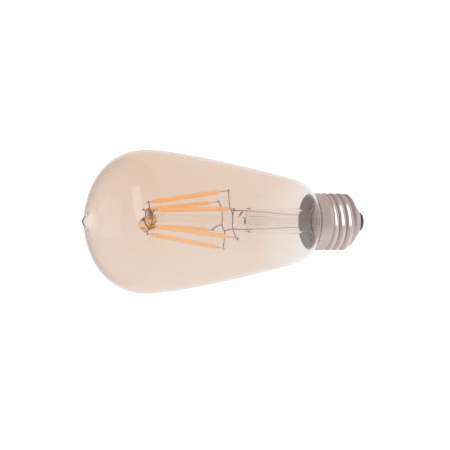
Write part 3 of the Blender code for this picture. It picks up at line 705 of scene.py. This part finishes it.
def make_insulator():
    """Black glass between the shell and the contact: a cone with soft steps."""
    cone = [(4.55, 1.62), (4.8, 1.66), (5.2, 1.9), (5.9, 2.4), (6.45, 2.8), (6.6, 3.3), (6.6, 3.9)]
    under_shell = [(6.6, 3.9), (7.9, 5.2), (9.4, 6.6), (10.2, 7.6)]
    top = [(9.8, 7.95), (6.5, 6.95), (3.0, 6.0)]
    face, inside = through(cone, 5), through(under_shell + top, 4)
    profile = chain(face, inside, np.array([(3.0, 6.0), (1.6, 6.0), (1.6, 1.55), (4.4, 1.55)]))
    piece("cap_glass", "black_glass", [turned(profile, 128)], ["cap_insulator"])


def make_contact():
    """The centre contact: a domed washer with a rivet's dimple, and the rivet's shank."""
    dimple = [(0.03, 0.28), (0.5, 0.26), (0.9, 0.12), (1.3, 0.02)]
    face = through(dimple + [(2.4, 0.0), (3.3, 0.02), (3.9, 0.18)], 5)
    side = through([(3.9, 0.18), (4.25, 0.5), (4.38, 0.95), (4.35, 1.22)], 4)
    shank = np.array([(4.35, 1.22), (1.32, 1.22), (1.3, 6.3), (0.9, 6.55), (0.03, 6.6)])
    button = turned(chain(face, side, shank), 96, "caps")
    piece("contact_button", "contact_metal", [button], ["centre_contact"])


def make_cement():
    """The cement between the neck and the cap, lumpy where it oozed: waves of angle on its free face."""
    outer = [(12.02, 20.8), (12.3, 21.0), (12.5, 20.8), (12.35, 20.4), (12.1, 20.0)]
    under = [(11.6, 19.6), (11.1, 19.45), (10.6, 19.6)]
    section = np.vstack([through(outer + under, 4), [(10.65, 20.1), (12.0, 20.2)]])
    angle = np.arange(192) / 192 * AROUND
    lumps = 0.10 * np.sin(5 * angle + 1.0) + 0.07 * np.sin(13 * angle + 0.4) + 0.05 * np.sin(29 * angle)
    free = smoothstep(20.2, 20.8, section[:, 1])
    z = section[:, 1:] + lumps * free[:, None]
    radius = section[:, :1] + 0 * angle
    rings = np.stack([radius * np.cos(angle), radius * np.sin(angle), z], axis=-1)
    piece("cement_ring", "cement", [surface(rings, "loop")], ["basing_cement"])


# The stem


def ovals(stations, sides=64):
    """Superellipse rings from stations of (z, half width, half depth, squareness)."""
    z, width, depth, squareness = np.asarray(stations, dtype=float).T
    flat = superellipse(width, depth, squareness, sides)
    return np.concatenate([flat, np.broadcast_to(z[:, None, None], (*flat.shape[:2], 1))], axis=-1)


def cut(made, *cutters, operation="DIFFERENCE"):
    """Takes the cutters' solids out of a piece's mesh, or joins them to it."""
    helpers = []
    for points, quads, fans in cutters:
        mesh = bpy.data.meshes.new("cutter")
        mesh.from_pydata((points * MM).tolist(), [], quads.tolist() + fans.tolist())
        helpers.append(bpy.data.objects.new("cutter", mesh))
        bpy.context.scene.collection.objects.link(helpers[-1])
        modifier = made.modifiers.new("cut", "BOOLEAN")
        modifier.operation = operation
        modifier.object = helpers[-1]
    bpy.context.view_layer.update()
    ready = made.evaluated_get(bpy.context.evaluated_depsgraph_get())
    finished = bpy.data.meshes.new_from_object(ready)
    made.modifiers.clear()
    made.data = finished
    for helper in helpers:
        bpy.data.objects.remove(helper)
    made.data.shade_smooth()
    made.data.set_sharp_from_angle(angle=math.radians(40))


def egg(centre, half_sizes, rows=14, columns=28):
    """An ellipsoid as rings at height -cos a and radius sin a."""
    a = np.linspace(0.12, np.pi - 0.12, rows)[:, None, None]
    flat = circle(columns)[None] * np.sin(a)
    rings = np.concatenate([flat, np.broadcast_to(-np.cos(a), (rows, columns, 1))], axis=-1)
    return surface(rings * np.asarray(half_sizes) + np.asarray(centre))


def make_press_marks():
    """What the flame left in the press: two folds, drawn as dark tubes of painted shadow, and a scatter of
    oxide specks.
    """
    folds = []
    for path in (
        [(1.4, -0.6, 62.1), (2.9, -0.6, 61.3), (3.9, -0.6, 60.2)],
        [(1.2, -0.5, 59.8), (-0.4, -0.5, 58.8), (-2.2, -0.5, 59.9)],
    ):
        path = through(path, 8)
        t = np.linspace(0, 1, len(path))
        folds.append(surface(along_rings(lean(path), 0.07 + 0.30 * np.sin(np.pi * t))))
    # Painted shadow: dark tubes where the press's folds show dark.
    piece("press_folds", "clear_glass", folds, finish="fold_shadow")
    n = np.arange(16)
    x = -3.2 + 7.6 * ((n * 0.618) % 1)
    y = -1.0 + 2.0 * ((n * 0.382) % 1)
    z = 58.6 + 5.2 * ((n * 0.755) % 1)
    size = 0.07 + 0.08 * ((n * 0.271) % 1)
    specks = [egg(lean(p), (r, r, 1.3 * r), 6, 8) for p, r in zip(np.stack([x, y, z], axis=1), size)]
    piece("press_specks", "clear_glass", specks, finish="speck")


def make_stem():
    """Flare, tube and flattened press. The pumping hole bends out of the press's side."""
    press = [
        (PRESS_TOP_Z, 4.2, 1.2, 2.6),
        (PRESS_TOP_Z - 0.25, 4.9, 1.85, 3.0),
        (PRESS_TOP_Z - 0.9, 5.2, 2.1, 3.2),
        (62.4, 5.15, 2.05, 3.2),
        (60.2, 5.3, 2.3, 3.0),
        (58.2, 5.4, 3.1, 2.6),
        (56.2, 5.65, 4.7, 2.2),
        (54.2, STEM_RADIUS, STEM_RADIUS, 2.0),
        (52.4, STEM_RADIUS, STEM_RADIUS, 2.0),
    ]
    foot, rim = (STEM_RADIUS, 28.3), (10.7, 21.6)
    outside = chain(
        np.array([(STEM_RADIUS, 52.4), (STEM_RADIUS, 44.0), (STEM_RADIUS, 36.0), foot]),
        bezier([foot, (STEM_RADIUS, 24.9), (7.0, 22.7), rim], 18),
        bezier([rim, (10.9, 21.55), (10.95, 20.9), (10.6, 20.85)], 6),
        bezier([(10.6, 20.85), (6.7, 21.6), (STEM_BORE, 23.7), (STEM_BORE, 27.9)], 18),
        np.array([(STEM_BORE, 27.9), (STEM_BORE, 36.0), (STEM_BORE, 44.0), (STEM_BORE, 52.4)]),
    )
    bore_end = [
        (52.4, STEM_BORE, STEM_BORE, 2.0),
        (54.2, 4.8, 4.75, 2.0),
        (56.0, 4.75, 3.5, 2.1),
        (57.3, 4.4, 2.0, 2.2),
        (58.1, 3.6, 1.1, 2.2),
        (58.4, 2.6, 0.5, 2.2),
    ]
    radius, z = outside.T
    tube_stations = np.stack([z, radius, radius, np.full(len(z), 2.0)], axis=1)
    stations = chain(through(press, 4), tube_stations, through(bore_end, 4))
    points, quads, fans = surface(ovals(stations))
    made = piece("stem_glass", "clear_glass", [(lean(points), quads, fans)], ["glass_stem"], 60)
    vent = through([(0, 0, 56.6), (0, 0, 58.4), (0.1, -0.3, 59.6), (0.5, -1.4, 60.5), (0.8, -3.6, 61.0)], 5)
    cut(made, tube(lean(vent), np.linspace(1.15, 0.95, len(vent)), 24, False))


def make_exhaust_tube():
    """The pumping tube, melted shut in a drop at its lower end."""
    profile = chain(
        bezier([(0.02, 15.0), (1.0, 15.0), (1.9, 16.4), (1.9, 18.6)], 14),
        np.array([(1.9, 18.6), (1.9, 30.0), (1.9, 44.0), (1.9, 56.5), (1.75, 56.8), (1.3, 56.75)]),
        np.array([(1.3, 56.75), (1.2, 56.4), (1.2, 44.0), (1.2, 30.0), (1.2, 18.8)]),
        bezier([(1.2, 18.8), (1.2, 17.6), (0.6, 16.5), (0.02, 16.5)], 10),
    )
    points, quads, fans = turned(profile, 48, "caps")
    wall = [(lean(points), quads, fans)]
    piece("pumping_tube", "clear_glass", wall, ["exhaust_tube"], 60, finish="tube_glass")


def make_post():
    """The post, which swells into a bead that sagged to -X.

    Its radius and its sideways shift are functions of height, and two ellipsoids are joined to the bead.
    """
    top = BEAD_Z + BEAD_RADIUS
    foot = np.array([PRESS_TOP_Z + 0.06, PRESS_TOP_Z + 0.3, PRESS_TOP_Z + 0.8, PRESS_TOP_Z + 1.8])
    low = np.linspace(PRESS_TOP_Z + 4, 99.5, 12)
    high = 100 + (top - 100) * np.sin(np.linspace(0, np.pi / 2, 36)) ** 0.9
    z = np.r_[foot, low, high[:-1], top - 0.004]
    t = np.clip((z - 100) / (top - 100), 0, 1)
    swell = smoothstep(0.12, 0.64, t)
    cap = np.sqrt(np.clip(1 - np.clip((z - BEAD_Z) / BEAD_RADIUS, 0, 1) ** 2, 0, 1))
    round_foot = np.sqrt(1 - np.clip(1 - (z - PRESS_TOP_Z) / 1.6, 0, 1) ** 2)
    radius = (POST_RADIUS + (BEAD_RADIUS - POST_RADIUS) * swell) * cap * round_foot
    sag = BEAD_SAG * smoothstep(0.15, 0.8, t)
    rings = circle(64)[None] * radius[:, None, None] - np.stack([sag, 0 * sag], axis=1)[:, None]
    rings = np.concatenate([rings, np.broadcast_to(z[:, None, None], (len(z), 64, 1))], axis=-1)
    made = piece("glass_post", "post_glass", [surface(lean(rings))], ["centre_post"], 60)
    upper_lobe = egg(lean((1.9, 0, 105.6)), (2.5, 2.0, 0.75))
    drip = egg(lean((-3.7, -0.6, 104.7)), (1.6, 1.5, 1.9))
    cut(made, upper_lobe, drip, operation="UNION")


# The filament cage


def filament_degrees(number):
    """The direction of a filament at the hub: 1 is at +X, and the others follow clockwise from above."""
    return -(number - 1) * 60.0


def weld_points(number):
    """The upper and lower welds of a filament."""
    degrees = filament_degrees(number)
    top = around(TOP_WELD[0], degrees, TOP_WELD[1])
    low = around(LOW_WELD[0], degrees - TWIST_DEGREES, LOW_WELD[1] + LOW_WELD_RISE[number - 1])
    return top, low


def beside(radius, degrees, z):
    """A point of an arm that runs outwards at that angle and passes a pin on its side."""
    return around(radius, degrees, z) + around(WELD_OFFSET, degrees - 90, 0)


def nugget(centre, along, size=(0.34, 0.42)):
    """A spot weld: an egg of (radius, half length) along a direction."""
    along = np.asarray(along) / np.linalg.norm(along)
    t = np.linspace(-0.98, 0.98, 9)
    path = centre + along * t[:, None] * size[1]
    return surface(along_rings(path, size[0] * np.sqrt(1 - t**2)))


def along_rings(path, radii, sides=12):
    return along(path, circle(sides)[None] * radii[:, None, None])


def make_hub():
    """The ring, drawn out a little towards its six arms, and the arms."""
    angle = np.arange(144) / 144 * AROUND
    radius = HUB_RING[0] - 0.22 * (0.5 - 0.5 * np.cos(6 * angle))
    ring = np.stack([radius * np.cos(angle), radius * np.sin(angle), HUB_RING[1] + 0 * angle], axis=1)
    parts = [ring_wire(lean(ring), WIRE)]
    for number in FILAMENTS:
        degrees = filament_degrees(number)
        arm = [
            beside(HUB_RING[0] - 0.3, degrees + 2, HUB_RING[1]),
            beside(HUB_RING[0] + 0.9, degrees, HUB_RING[1] + 0.05),
            beside(TOP_WELD[0], degrees, TOP_WELD[1]),
            beside(TOP_WELD[0] + 0.85, degrees, TOP_WELD[1]),
        ]
        parts.append(tube(lean(through(arm, 5)), WIRE, 14))
        weld = beside(TOP_WELD[0], degrees, TOP_WELD[1]) + around(0.2, degrees + 90, 0)
        parts.append(nugget(lean(weld), around(1, degrees, 0)))
    piece("hub_wires", "nickel_wire", parts, ["hub_ring"])


def make_spider(side, first):
    """The inner lead and its three arms. One wire runs from the first arm round the post to the third."""
    turn = filament_degrees(first) - TWIST_DEGREES
    half_turn = 0 if first == 1 else 180
    lows = [weld_points(number)[1][2] for number in range(first, first + 3)]
    radius, height = SPIDER
    tip = LOW_WELD[0] + 0.85
    route = [
        beside(tip, turn, lows[0]),
        beside(9.6, turn - 2, (lows[0] + height) / 2),
        around(radius + 0.4, turn - 14, height),
        around(radius, turn - 36, height),
        around(radius, turn - 60, height),
        around(radius, turn - 88, height),
        around(radius + 0.6, turn - 110, height),
        beside(9.4, turn - 118, (lows[2] + height) / 2),
        beside(tip, turn - 120, lows[2]),
    ]
    arm = [
        around(radius, turn - 60, height),
        beside(9.6, turn - 60, (lows[1] + height) / 2),
        beside(tip, turn - 60, lows[1]),
    ]
    lead = [
        around(LEAD_OFFSET, half_turn, DUMET_Z[1] + 0.1),
        around(LEAD_OFFSET, half_turn, PRESS_TOP_Z + 0.5),
        around(LEAD_OFFSET + 0.5, half_turn - 10, PRESS_TOP_Z + 1.8),
        around(radius, turn - 26, height),
    ]
    parts = [tube(lean(through(wire, 8)), WIRE, 14) for wire in (route, arm, lead)]
    for i, low in enumerate(lows):
        degrees = turn - 60 * i
        weld = beside(LOW_WELD[0], degrees, low) + around(0.2, degrees + 90, 0)
        parts.append(nugget(lean(weld), around(1, degrees, 0)))
    parts.append(nugget(lean(around(radius, turn - 60, height)), around(1, turn + 30, 0)))
    piece(f"lead_frame_{side}", "nickel_wire", parts, [f"support_spider_{side}"])


def make_leads(side, half_turn):
    """The copper-clad seal wire with its two butt welds, and the outer lead down to the board."""
    seal = [around(LEAD_OFFSET, half_turn, z) for z in np.linspace(*DUMET_Z, 9)]
    ends = [nugget(lean(seal[i]), (0, 0, 1), (0.24, 0.3)) for i in (0, -1)]
    piece(f"seal_lead_{side}", "dumet", [tube(lean(seal), 0.17, 14), *ends], [f"seal_wire_{side}"])
    route = [
        around(LEAD_OFFSET, half_turn, DUMET_Z[0] - 0.2),
        around(LEAD_OFFSET - 0.3, half_turn, 48.7),
        around(LEAD_OFFSET - 1.2, half_turn, 35.7),
        around(LEAD_OFFSET - 1.0, half_turn, 27.0),
        around(LEAD_OFFSET, half_turn, 22.3),
        around(LEAD_OFFSET + 0.2, half_turn, BOARD_Z + 0.3),
    ]
    parts = [tube(lean(through(route, 10)), WIRE * 0.75, 14)]
    solder = around(LEAD_OFFSET + 0.2, half_turn, BOARD_Z)
    blob = np.array([(1.0, 0.12), (0.85, 0.3), (0.6, 0.55), (0.42, 0.9), (0.28, 1.25)])
    points, quads, fans = turned(blob, 24, "caps")
    parts.append((lean(points + solder), quads, fans))
    piece(f"board_lead_{side}", "nickel_wire", parts, [f"outer_lead_{side}"], finish="lead_wire")


def filament_axes(number):
    """The upper weld, unit vectors outwards, sideways and up the filament, and the welds' distance."""
    top, low = weld_points(number)
    up = (top - low) / np.linalg.norm(top - low)
    outward = np.cross(around(1, filament_degrees(number) + 90, 0), up)
    outward /= np.linalg.norm(outward)
    return top, np.stack([outward, np.cross(up, outward), up]), np.linalg.norm(top - low)


def on_filament(number, stations, sides):
    """Rings of (distance along, half width, half thickness, squareness) set on a filament's axis."""
    top, axes, _ = filament_axes(number)
    return lean(ovals(stations, sides) @ axes + top)


def make_filament(number):
    """The wavy phosphor body, drawn in at its ends, with a channel for the strip, and two flat pins."""
    length = filament_axes(number)[2]
    start = -PHOSPHOR_DROP
    end = start - PHOSPHOR_LENGTH
    t = np.linspace(0, 1, 40)
    z = start + (end - start) * (0.5 - 0.5 * np.cos(np.pi * t))
    from_end = np.minimum(start - z, z - end)
    taper = 0.70 + 0.30 * np.sqrt(np.clip(from_end / 2.2, 0, 1))
    wave = 1 + 0.012 * np.sin(z * 0.9 + number) + 0.008 * np.sin(z * 2.3 + 2 * number)
    body = np.stack([z, 1.0 * taper * wave, 0.92 * taper * wave, np.full(40, 2.3)], axis=1)
    channel = np.array([(end, 0.62, 0.42, 4.0), (start, 0.62, 0.42, 4.0)])
    rings = on_filament(number, np.vstack([body, channel]), 32)
    piece(f"filament_{number}", "phosphor", [surface(rings, "loop")], [f"filament_{number}_phosphor"], 50)
    spans = {"top_pin": (0.8, start - 1.2), "bottom_pin": (end + 1.2, -length - 0.8)}
    for pin, (high, low) in spans.items():
        corner = 0.12
        z = np.array([high, high - corner, high - 2 * corner, low + 2 * corner, low + corner, low])
        width = np.array([0.2, 0.27, 0.3, 0.3, 0.27, 0.2])
        thick = np.array([0.09, 0.12, 0.125, 0.125, 0.12, 0.09])
        stations = np.stack([z, width, thick, np.full(6, 7.0)], axis=1)
        node = f"filament_{number}_{pin}"
        rings = on_filament(number, stations, 24)
        piece(f"{node}_strip", "nickel_wire", [surface(rings)], [node], finish="pin_plate")


# The driver


def make_board():
    """The round board with its hole, its edges broken, and pads that stand a hair proud."""
    rim, hole, broken = 10.2, 2.5, 0.08
    low, high = BOARD_UNDERSIDE_Z, BOARD_Z
    profile = [
        (hole + broken, high),
        (hole, high - broken),
        (hole, low + broken),
        (hole + broken, low),
        (rim - broken, low),
        (rim, low + broken),
        (rim, high - broken),
        (rim - broken, high),
    ]
    piece("round_board", "board", [turned(profile, 128)], ["driver_board"], 30)
    places = [(-6.6, -1.9), (6.2, -0.6), (-2.2, 8.5), (3.9, 8.2)]
    places += [(8.4, -1.2), (-8.6, -1.6), (1.8, -3.9), (-1.8, -3.9)]
    pads = [slab((1.3, 0.9, 0.07), (x, y, high + 0.045), 0.02, 24) for x, y in places]
    piece("board_pads", "tin_can", pads)


def make_shield():
    """The radio's tin lid: soft corners and rows of vent holes sunk in the top."""
    centre, size = np.array([0, 6.0, BOARD_Z + 0.7]), (6.0, 4.4, 1.2)
    made = piece("shield_lid", "tin_can", [slab(size, centre, 0.22, 96)], ["radio_shield"])
    top = centre[2] + size[2] / 2
    holes = []
    for x in (-1.8, -0.6, 0.6, 1.8):
        for y in (-1.0, 1.0):
            holes.append(tube([centre + (x, y, 0.35), (x, centre[1] + y, top + 0.3)], 0.26, 16, False))
    cut(made, *holes)


def make_chip(name, slot, size, place, node, legs=0):
    """A moulded body with a sunk dot, or a ceramic one with plated ends."""
    centre = np.array([*place, BOARD_Z + 0.1 + size[2] / 2])
    made = piece(name, slot, [slab(size, centre, 0.1, 64)], [node])
    if legs:
        dot = centre + (-size[0] * 0.3, -size[1] * 0.3, size[2] / 2)
        cut(made, tube([dot - (0, 0, 0.08), dot + (0, 0, 0.3)], 0.22, 20, False))
        feet = []
        for side in (-1, 1):
            for i in range(legs):
                y = (i - (legs - 1) / 2) * size[1] / legs
                foot = centre + (side * (size[0] / 2 + 0.12), y, 0)
                feet.append(slab((0.4, 0.22, 0.12), (foot[0], foot[1], BOARD_Z + 0.13), 0.03, 16))
        piece(f"{name}_legs", "tin_can", feet)
        return
    long_way = 0 if size[0] > size[1] else 1
    ends = []
    for side in (-1, 1):
        end_size, end_centre = np.array(size) + 0.03, centre.copy()
        end_size[long_way] = 0.38
        end_centre[long_way] += side * (size[long_way] / 2 - 0.17)
        ends.append(slab(end_size, end_centre, 0.05, 48))
    piece(f"{name}_ends", "tin_can", ends)


def make_board_parts():
    """The board and what is soldered on its upper face."""
    make_board()
    make_shield()
    make_chip("driver_ic", "black_epoxy", (3.2, 3.2, 1.0), (5.2, -4.2), "driver_chip", legs=4)
    make_chip("antenna_block", "antenna_ceramic", (5.0, 1.8, 0.9), (0.0, -7.6), "antenna_chip")
    capacitors = (((2.0, 1.25, 0.8), (-6.6, -3.4)), ((1.25, 2.0, 0.8), (-4.0, -5.8)))
    for number, (size, place) in enumerate(capacitors, 1):
        make_chip(f"capacitor_block_{number}", "ceramic_chip", size, place, f"chip_capacitor_{number}")
    for number, place in enumerate(((7.4, 2.6), (-7.4, 2.6)), 1):
        size = (1.25, 2.0, 0.5)
        make_chip(f"resistor_block_{number}", "black_epoxy", size, place, f"chip_resistor_{number}")


def make_winding():
    """The choke's coil: one wire in three layers, each a helix whose radius is 0.29 more than the last."""
    turns, wire = 11, 0.145
    t = np.linspace(0, 1, turns * 20 + 1)
    layers = []
    for layer in range(3):
        rise = t if layer % 2 == 0 else 1 - t
        angle = AROUND * turns * t + layer * 0.6
        radius = 1.45 + 0.29 * layer
        z = HANGING_Z - 4.25 + 3.1 * rise
        layers.append(np.stack([radius * np.cos(angle), radius * np.sin(angle), z], axis=1))
    place = np.array([5.6, 3.4, 0])
    path = np.vstack(layers) + place
    piece("coil", "copper", [tube(path, wire, 8, False)], ["choke_winding"], 60)


def make_capacitor():
    """The bulk capacitor's can: a turned profile of (radius, depth below its mouth), with a groove."""
    base = [(1.4, 6.72), (2.4, 6.8), (2.9, 6.74), (3.12, 6.4), (3.15, 5.9)]
    side = [(3.15, 5.9), (3.15, 2.2), (3.1, 1.8), (2.87, 1.5)]
    lip = [(2.87, 1.5), (3.1, 1.2), (3.15, 0.9), (3.12, 0.2), (2.95, 0.0)]
    outer = chain(np.array([(0.02, 6.72), (1.4, 6.72)]), through(base, 5), through(side, 5), through(lip, 5))
    inner = [(2.72, 0.0), (2.7, 1.0), (2.56, 1.5), (2.7, 2.0), (2.7, 6.3), (0.02, 6.3)]
    profile = np.vstack([outer, inner]) * (1, -1) + (0, HANGING_Z)
    points, quads, fans = turned(profile, 72, "caps")
    can = (points + (-5.6, 2.5, 0), quads, fans)
    piece("bulk_capacitor", "capacitor_film", [can], ["capacitor_can"], 50)


def make_fuse():
    """The fusible resistor: a dog-bone body on its side, as radii along its length."""
    half = [(0, 0.86), (0.3, 1.2), (0.9, 1.3), (1.6, 1.12), (2.7, 1.08)]
    other_half = [(5.4 - x, radius) for x, radius in half[-2::-1]]
    stations = through(half + other_half, 6)
    x = stations[:, 0] - 2.7 - 4.2
    path = np.stack([x, np.full_like(x, -5.2), np.full_like(x, 16.3)], axis=1)
    body = surface(along_rings(path, stations[:, 1], 32))
    piece("fusible_resistor", "resistor_coat", [body], ["fuse_resistor"])


def make_wires():
    """The insulated live wire to the contact and the bare neutral wire to the shell."""
    live = [(0.4, -4.6, 17.8), (0.4, -4.6, 14.0), (0.2, -2.2, 10.6), (0.0, -0.2, 8.6), (0.0, 0.0, 6.9)]
    piece("live_lead", "red_insulation", [tube(through(live, 10), 0.5, 20)], ["live_wire"])
    bends = ((8.9, 17.9), (8.9, 14.8), (9.4, 13.4), (11.5, 13.0))
    neutral = [around(radius, -80, z) for radius, z in bends]
    piece("neutral_lead", "nickel_wire", [tube(through(neutral, 8), 0.3, 14)], ["neutral_wire"])


# The studio


def plain_finish(name, colour, glow):
    paint = Paint(name)
    shade = paint.noise(0.002, 1.0)
    tone = paint.mix(shade, colour, tuple(c * 0.995 for c in colour))
    white = (1.0, 1.0, 1.0)
    surface_node = paint.principled(
        base_color=tone, roughness=0.9, emission_color=white, emission_strength=glow
    )
    return paint.finish(surface_node)


def make_floor():
    """A pale floor well below the lamp, gently lit from within so that it stays even."""
    half = 9.0
    corners = [(x * half, y * half, FLOOR_Z) for x, y in ((-1, -1), (1, -1), (1, 1), (-1, 1))]
    mesh = bpy.data.meshes.new("studio_floor")
    mesh.from_pydata(corners, [], [(0, 1, 2, 3)])
    mesh.materials.append(plain_finish("floor_paper", (0.6, 0.6, 0.6), FLOOR_GLOW))
    floor = bpy.data.objects.new("studio_floor", mesh)
    bpy.context.scene.collection.objects.link(floor)
    floor.visible_glossy = False


def aimed(obj, place, aim, up):
    """Puts a light or a camera at a place, looking at a point, with its top towards up."""
    back = (Vector(place) - Vector(aim)).normalized()
    right = Vector(up).cross(back).normalized()
    turn = Matrix((right, back.cross(right), back)).transposed().to_4x4()
    turn.translation = Vector(place)
    obj.matrix_world = turn
    bpy.context.scene.collection.objects.link(obj)


def softbox(name, place, size, watts):
    """A soft area light that faces the lamp. The camera doesn't see it directly, nor do rays through the
    glass.
    """
    data = bpy.data.lights.new(name, "AREA")
    data.shape = "RECTANGLE"
    data.size, data.size_y = size
    data.energy = watts
    light = bpy.data.objects.new(name, data)
    light.visible_camera = False
    light.visible_transmission = False
    aimed(light, place, (0, 0, 0.07), (0, 0, 1))


def make_camera():
    """The lamp lies along the picture, with its cap to the right and +X up."""
    elevation = math.radians(CAMERA_ELEVATION)
    back = Vector((0, -math.cos(elevation), math.sin(elevation)))
    right = Vector((0, -math.sin(elevation), -math.cos(elevation)))
    aim = Vector((0, 0, 0.070)) + right * 0.00131 - Vector((1, 0, 0)) * 0.00149
    data = bpy.data.cameras.new("camera")
    data.lens = CAMERA_FOCAL
    data.sensor_width = 36
    data.clip_end = 40
    camera = bpy.data.objects.new("camera", data)
    aimed(camera, aim + back * CAMERA_DISTANCE, aim, (1, 0, 0))
    bpy.context.scene.camera = camera


def studio_light():
    """Soft grey light from all round: cool from below, warm at the sides, and dimmer in a band in front."""
    paint = Paint("studio", "worlds")
    direction = paint.node("ShaderNodeTexCoord", output="Generated")
    x, _, z = paint.node("ShaderNodeSeparateXYZ", values={0: direction}, output="all")
    stops = [
        (0.00, (0.88, 0.87, 0.95)),
        (0.18, (0.82, 0.80, 0.87)),
        (0.29, (0.64, 0.60, 0.59)),
        (0.42, (0.52, 0.47, 0.46)),
        (0.60, (0.50, 0.46, 0.46)),
        (0.85, (0.74, 0.73, 0.74)),
    ]
    height = paint.node("ShaderNodeValToRGB", {"stops": stops}, {"Fac": z * 0.5 + 0.5})
    colour = paint.mix((x * -1).ramp(0.1, 0.95) * 0.8, height, (0.95, 0.93, 0.91))
    glow = paint.node("ShaderNodeBackground", values={"Color": colour, "Strength": 1.0})
    return paint.finish(glow, "ShaderNodeOutputWorld")


def make_studio():
    """The camera, the floor, and two softboxes: a long one above the lamp's front, and one over its pip."""
    make_camera()
    make_floor()
    middle = Vector((0, 0, 0.07))
    softbox("key_box", middle + Vector((0.30, -0.58, 0.757)) * 0.9, (1.2, 0.3), 2.6)
    softbox("end_box", middle + Vector((0.05, 0.32, 0.95)) * 0.9, (0.6, 0.6), 0.9)
    bpy.context.scene.world = studio_light()
    bpy.context.scene.view_settings.view_transform = "Standard"
    for kind in ("transmission_bounces", "glossy_bounces", "max_bounces"):
        setattr(bpy.context.scene.cycles, kind, LIGHT_BOUNCES)
    bpy.context.scene.cycles.transparent_max_bounces = 24


FINISHES = make_finishes()


def paint_nodes():
    """The CAD nodes that keep their shape get their slot's finish."""
    slots = {
        "ceramic_strip": [f"filament_{n}_strip" for n in FILAMENTS],
        "sleeve_plastic": ["insulating_sleeve"],
        "black_epoxy": ["bridge_rectifier"],
        "ceramic_chip": ["mains_capacitor"],
        "rubber": ["capacitor_bung"],
        "ferrite": ["choke_core"],
    }
    for slot, names in slots.items():
        for name in names:
            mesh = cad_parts[name].data
            mesh.materials.clear()
            mesh.materials.append(FINISHES[slot])


make_bulb()
make_shell()
make_insulator()
make_contact()
make_cement()
make_stem()
make_press_marks()
make_exhaust_tube()
make_post()
make_hub()
for lead_side, lead_first, lead_turn in (("a", 1, 0), ("b", 4, 180)):
    make_spider(lead_side, lead_first)
    make_leads(lead_side, lead_turn)
for filament in FILAMENTS:
    make_filament(filament)
make_board_parts()
make_winding()
make_capacitor()
make_fuse()
make_wires()
paint_nodes()
make_studio()
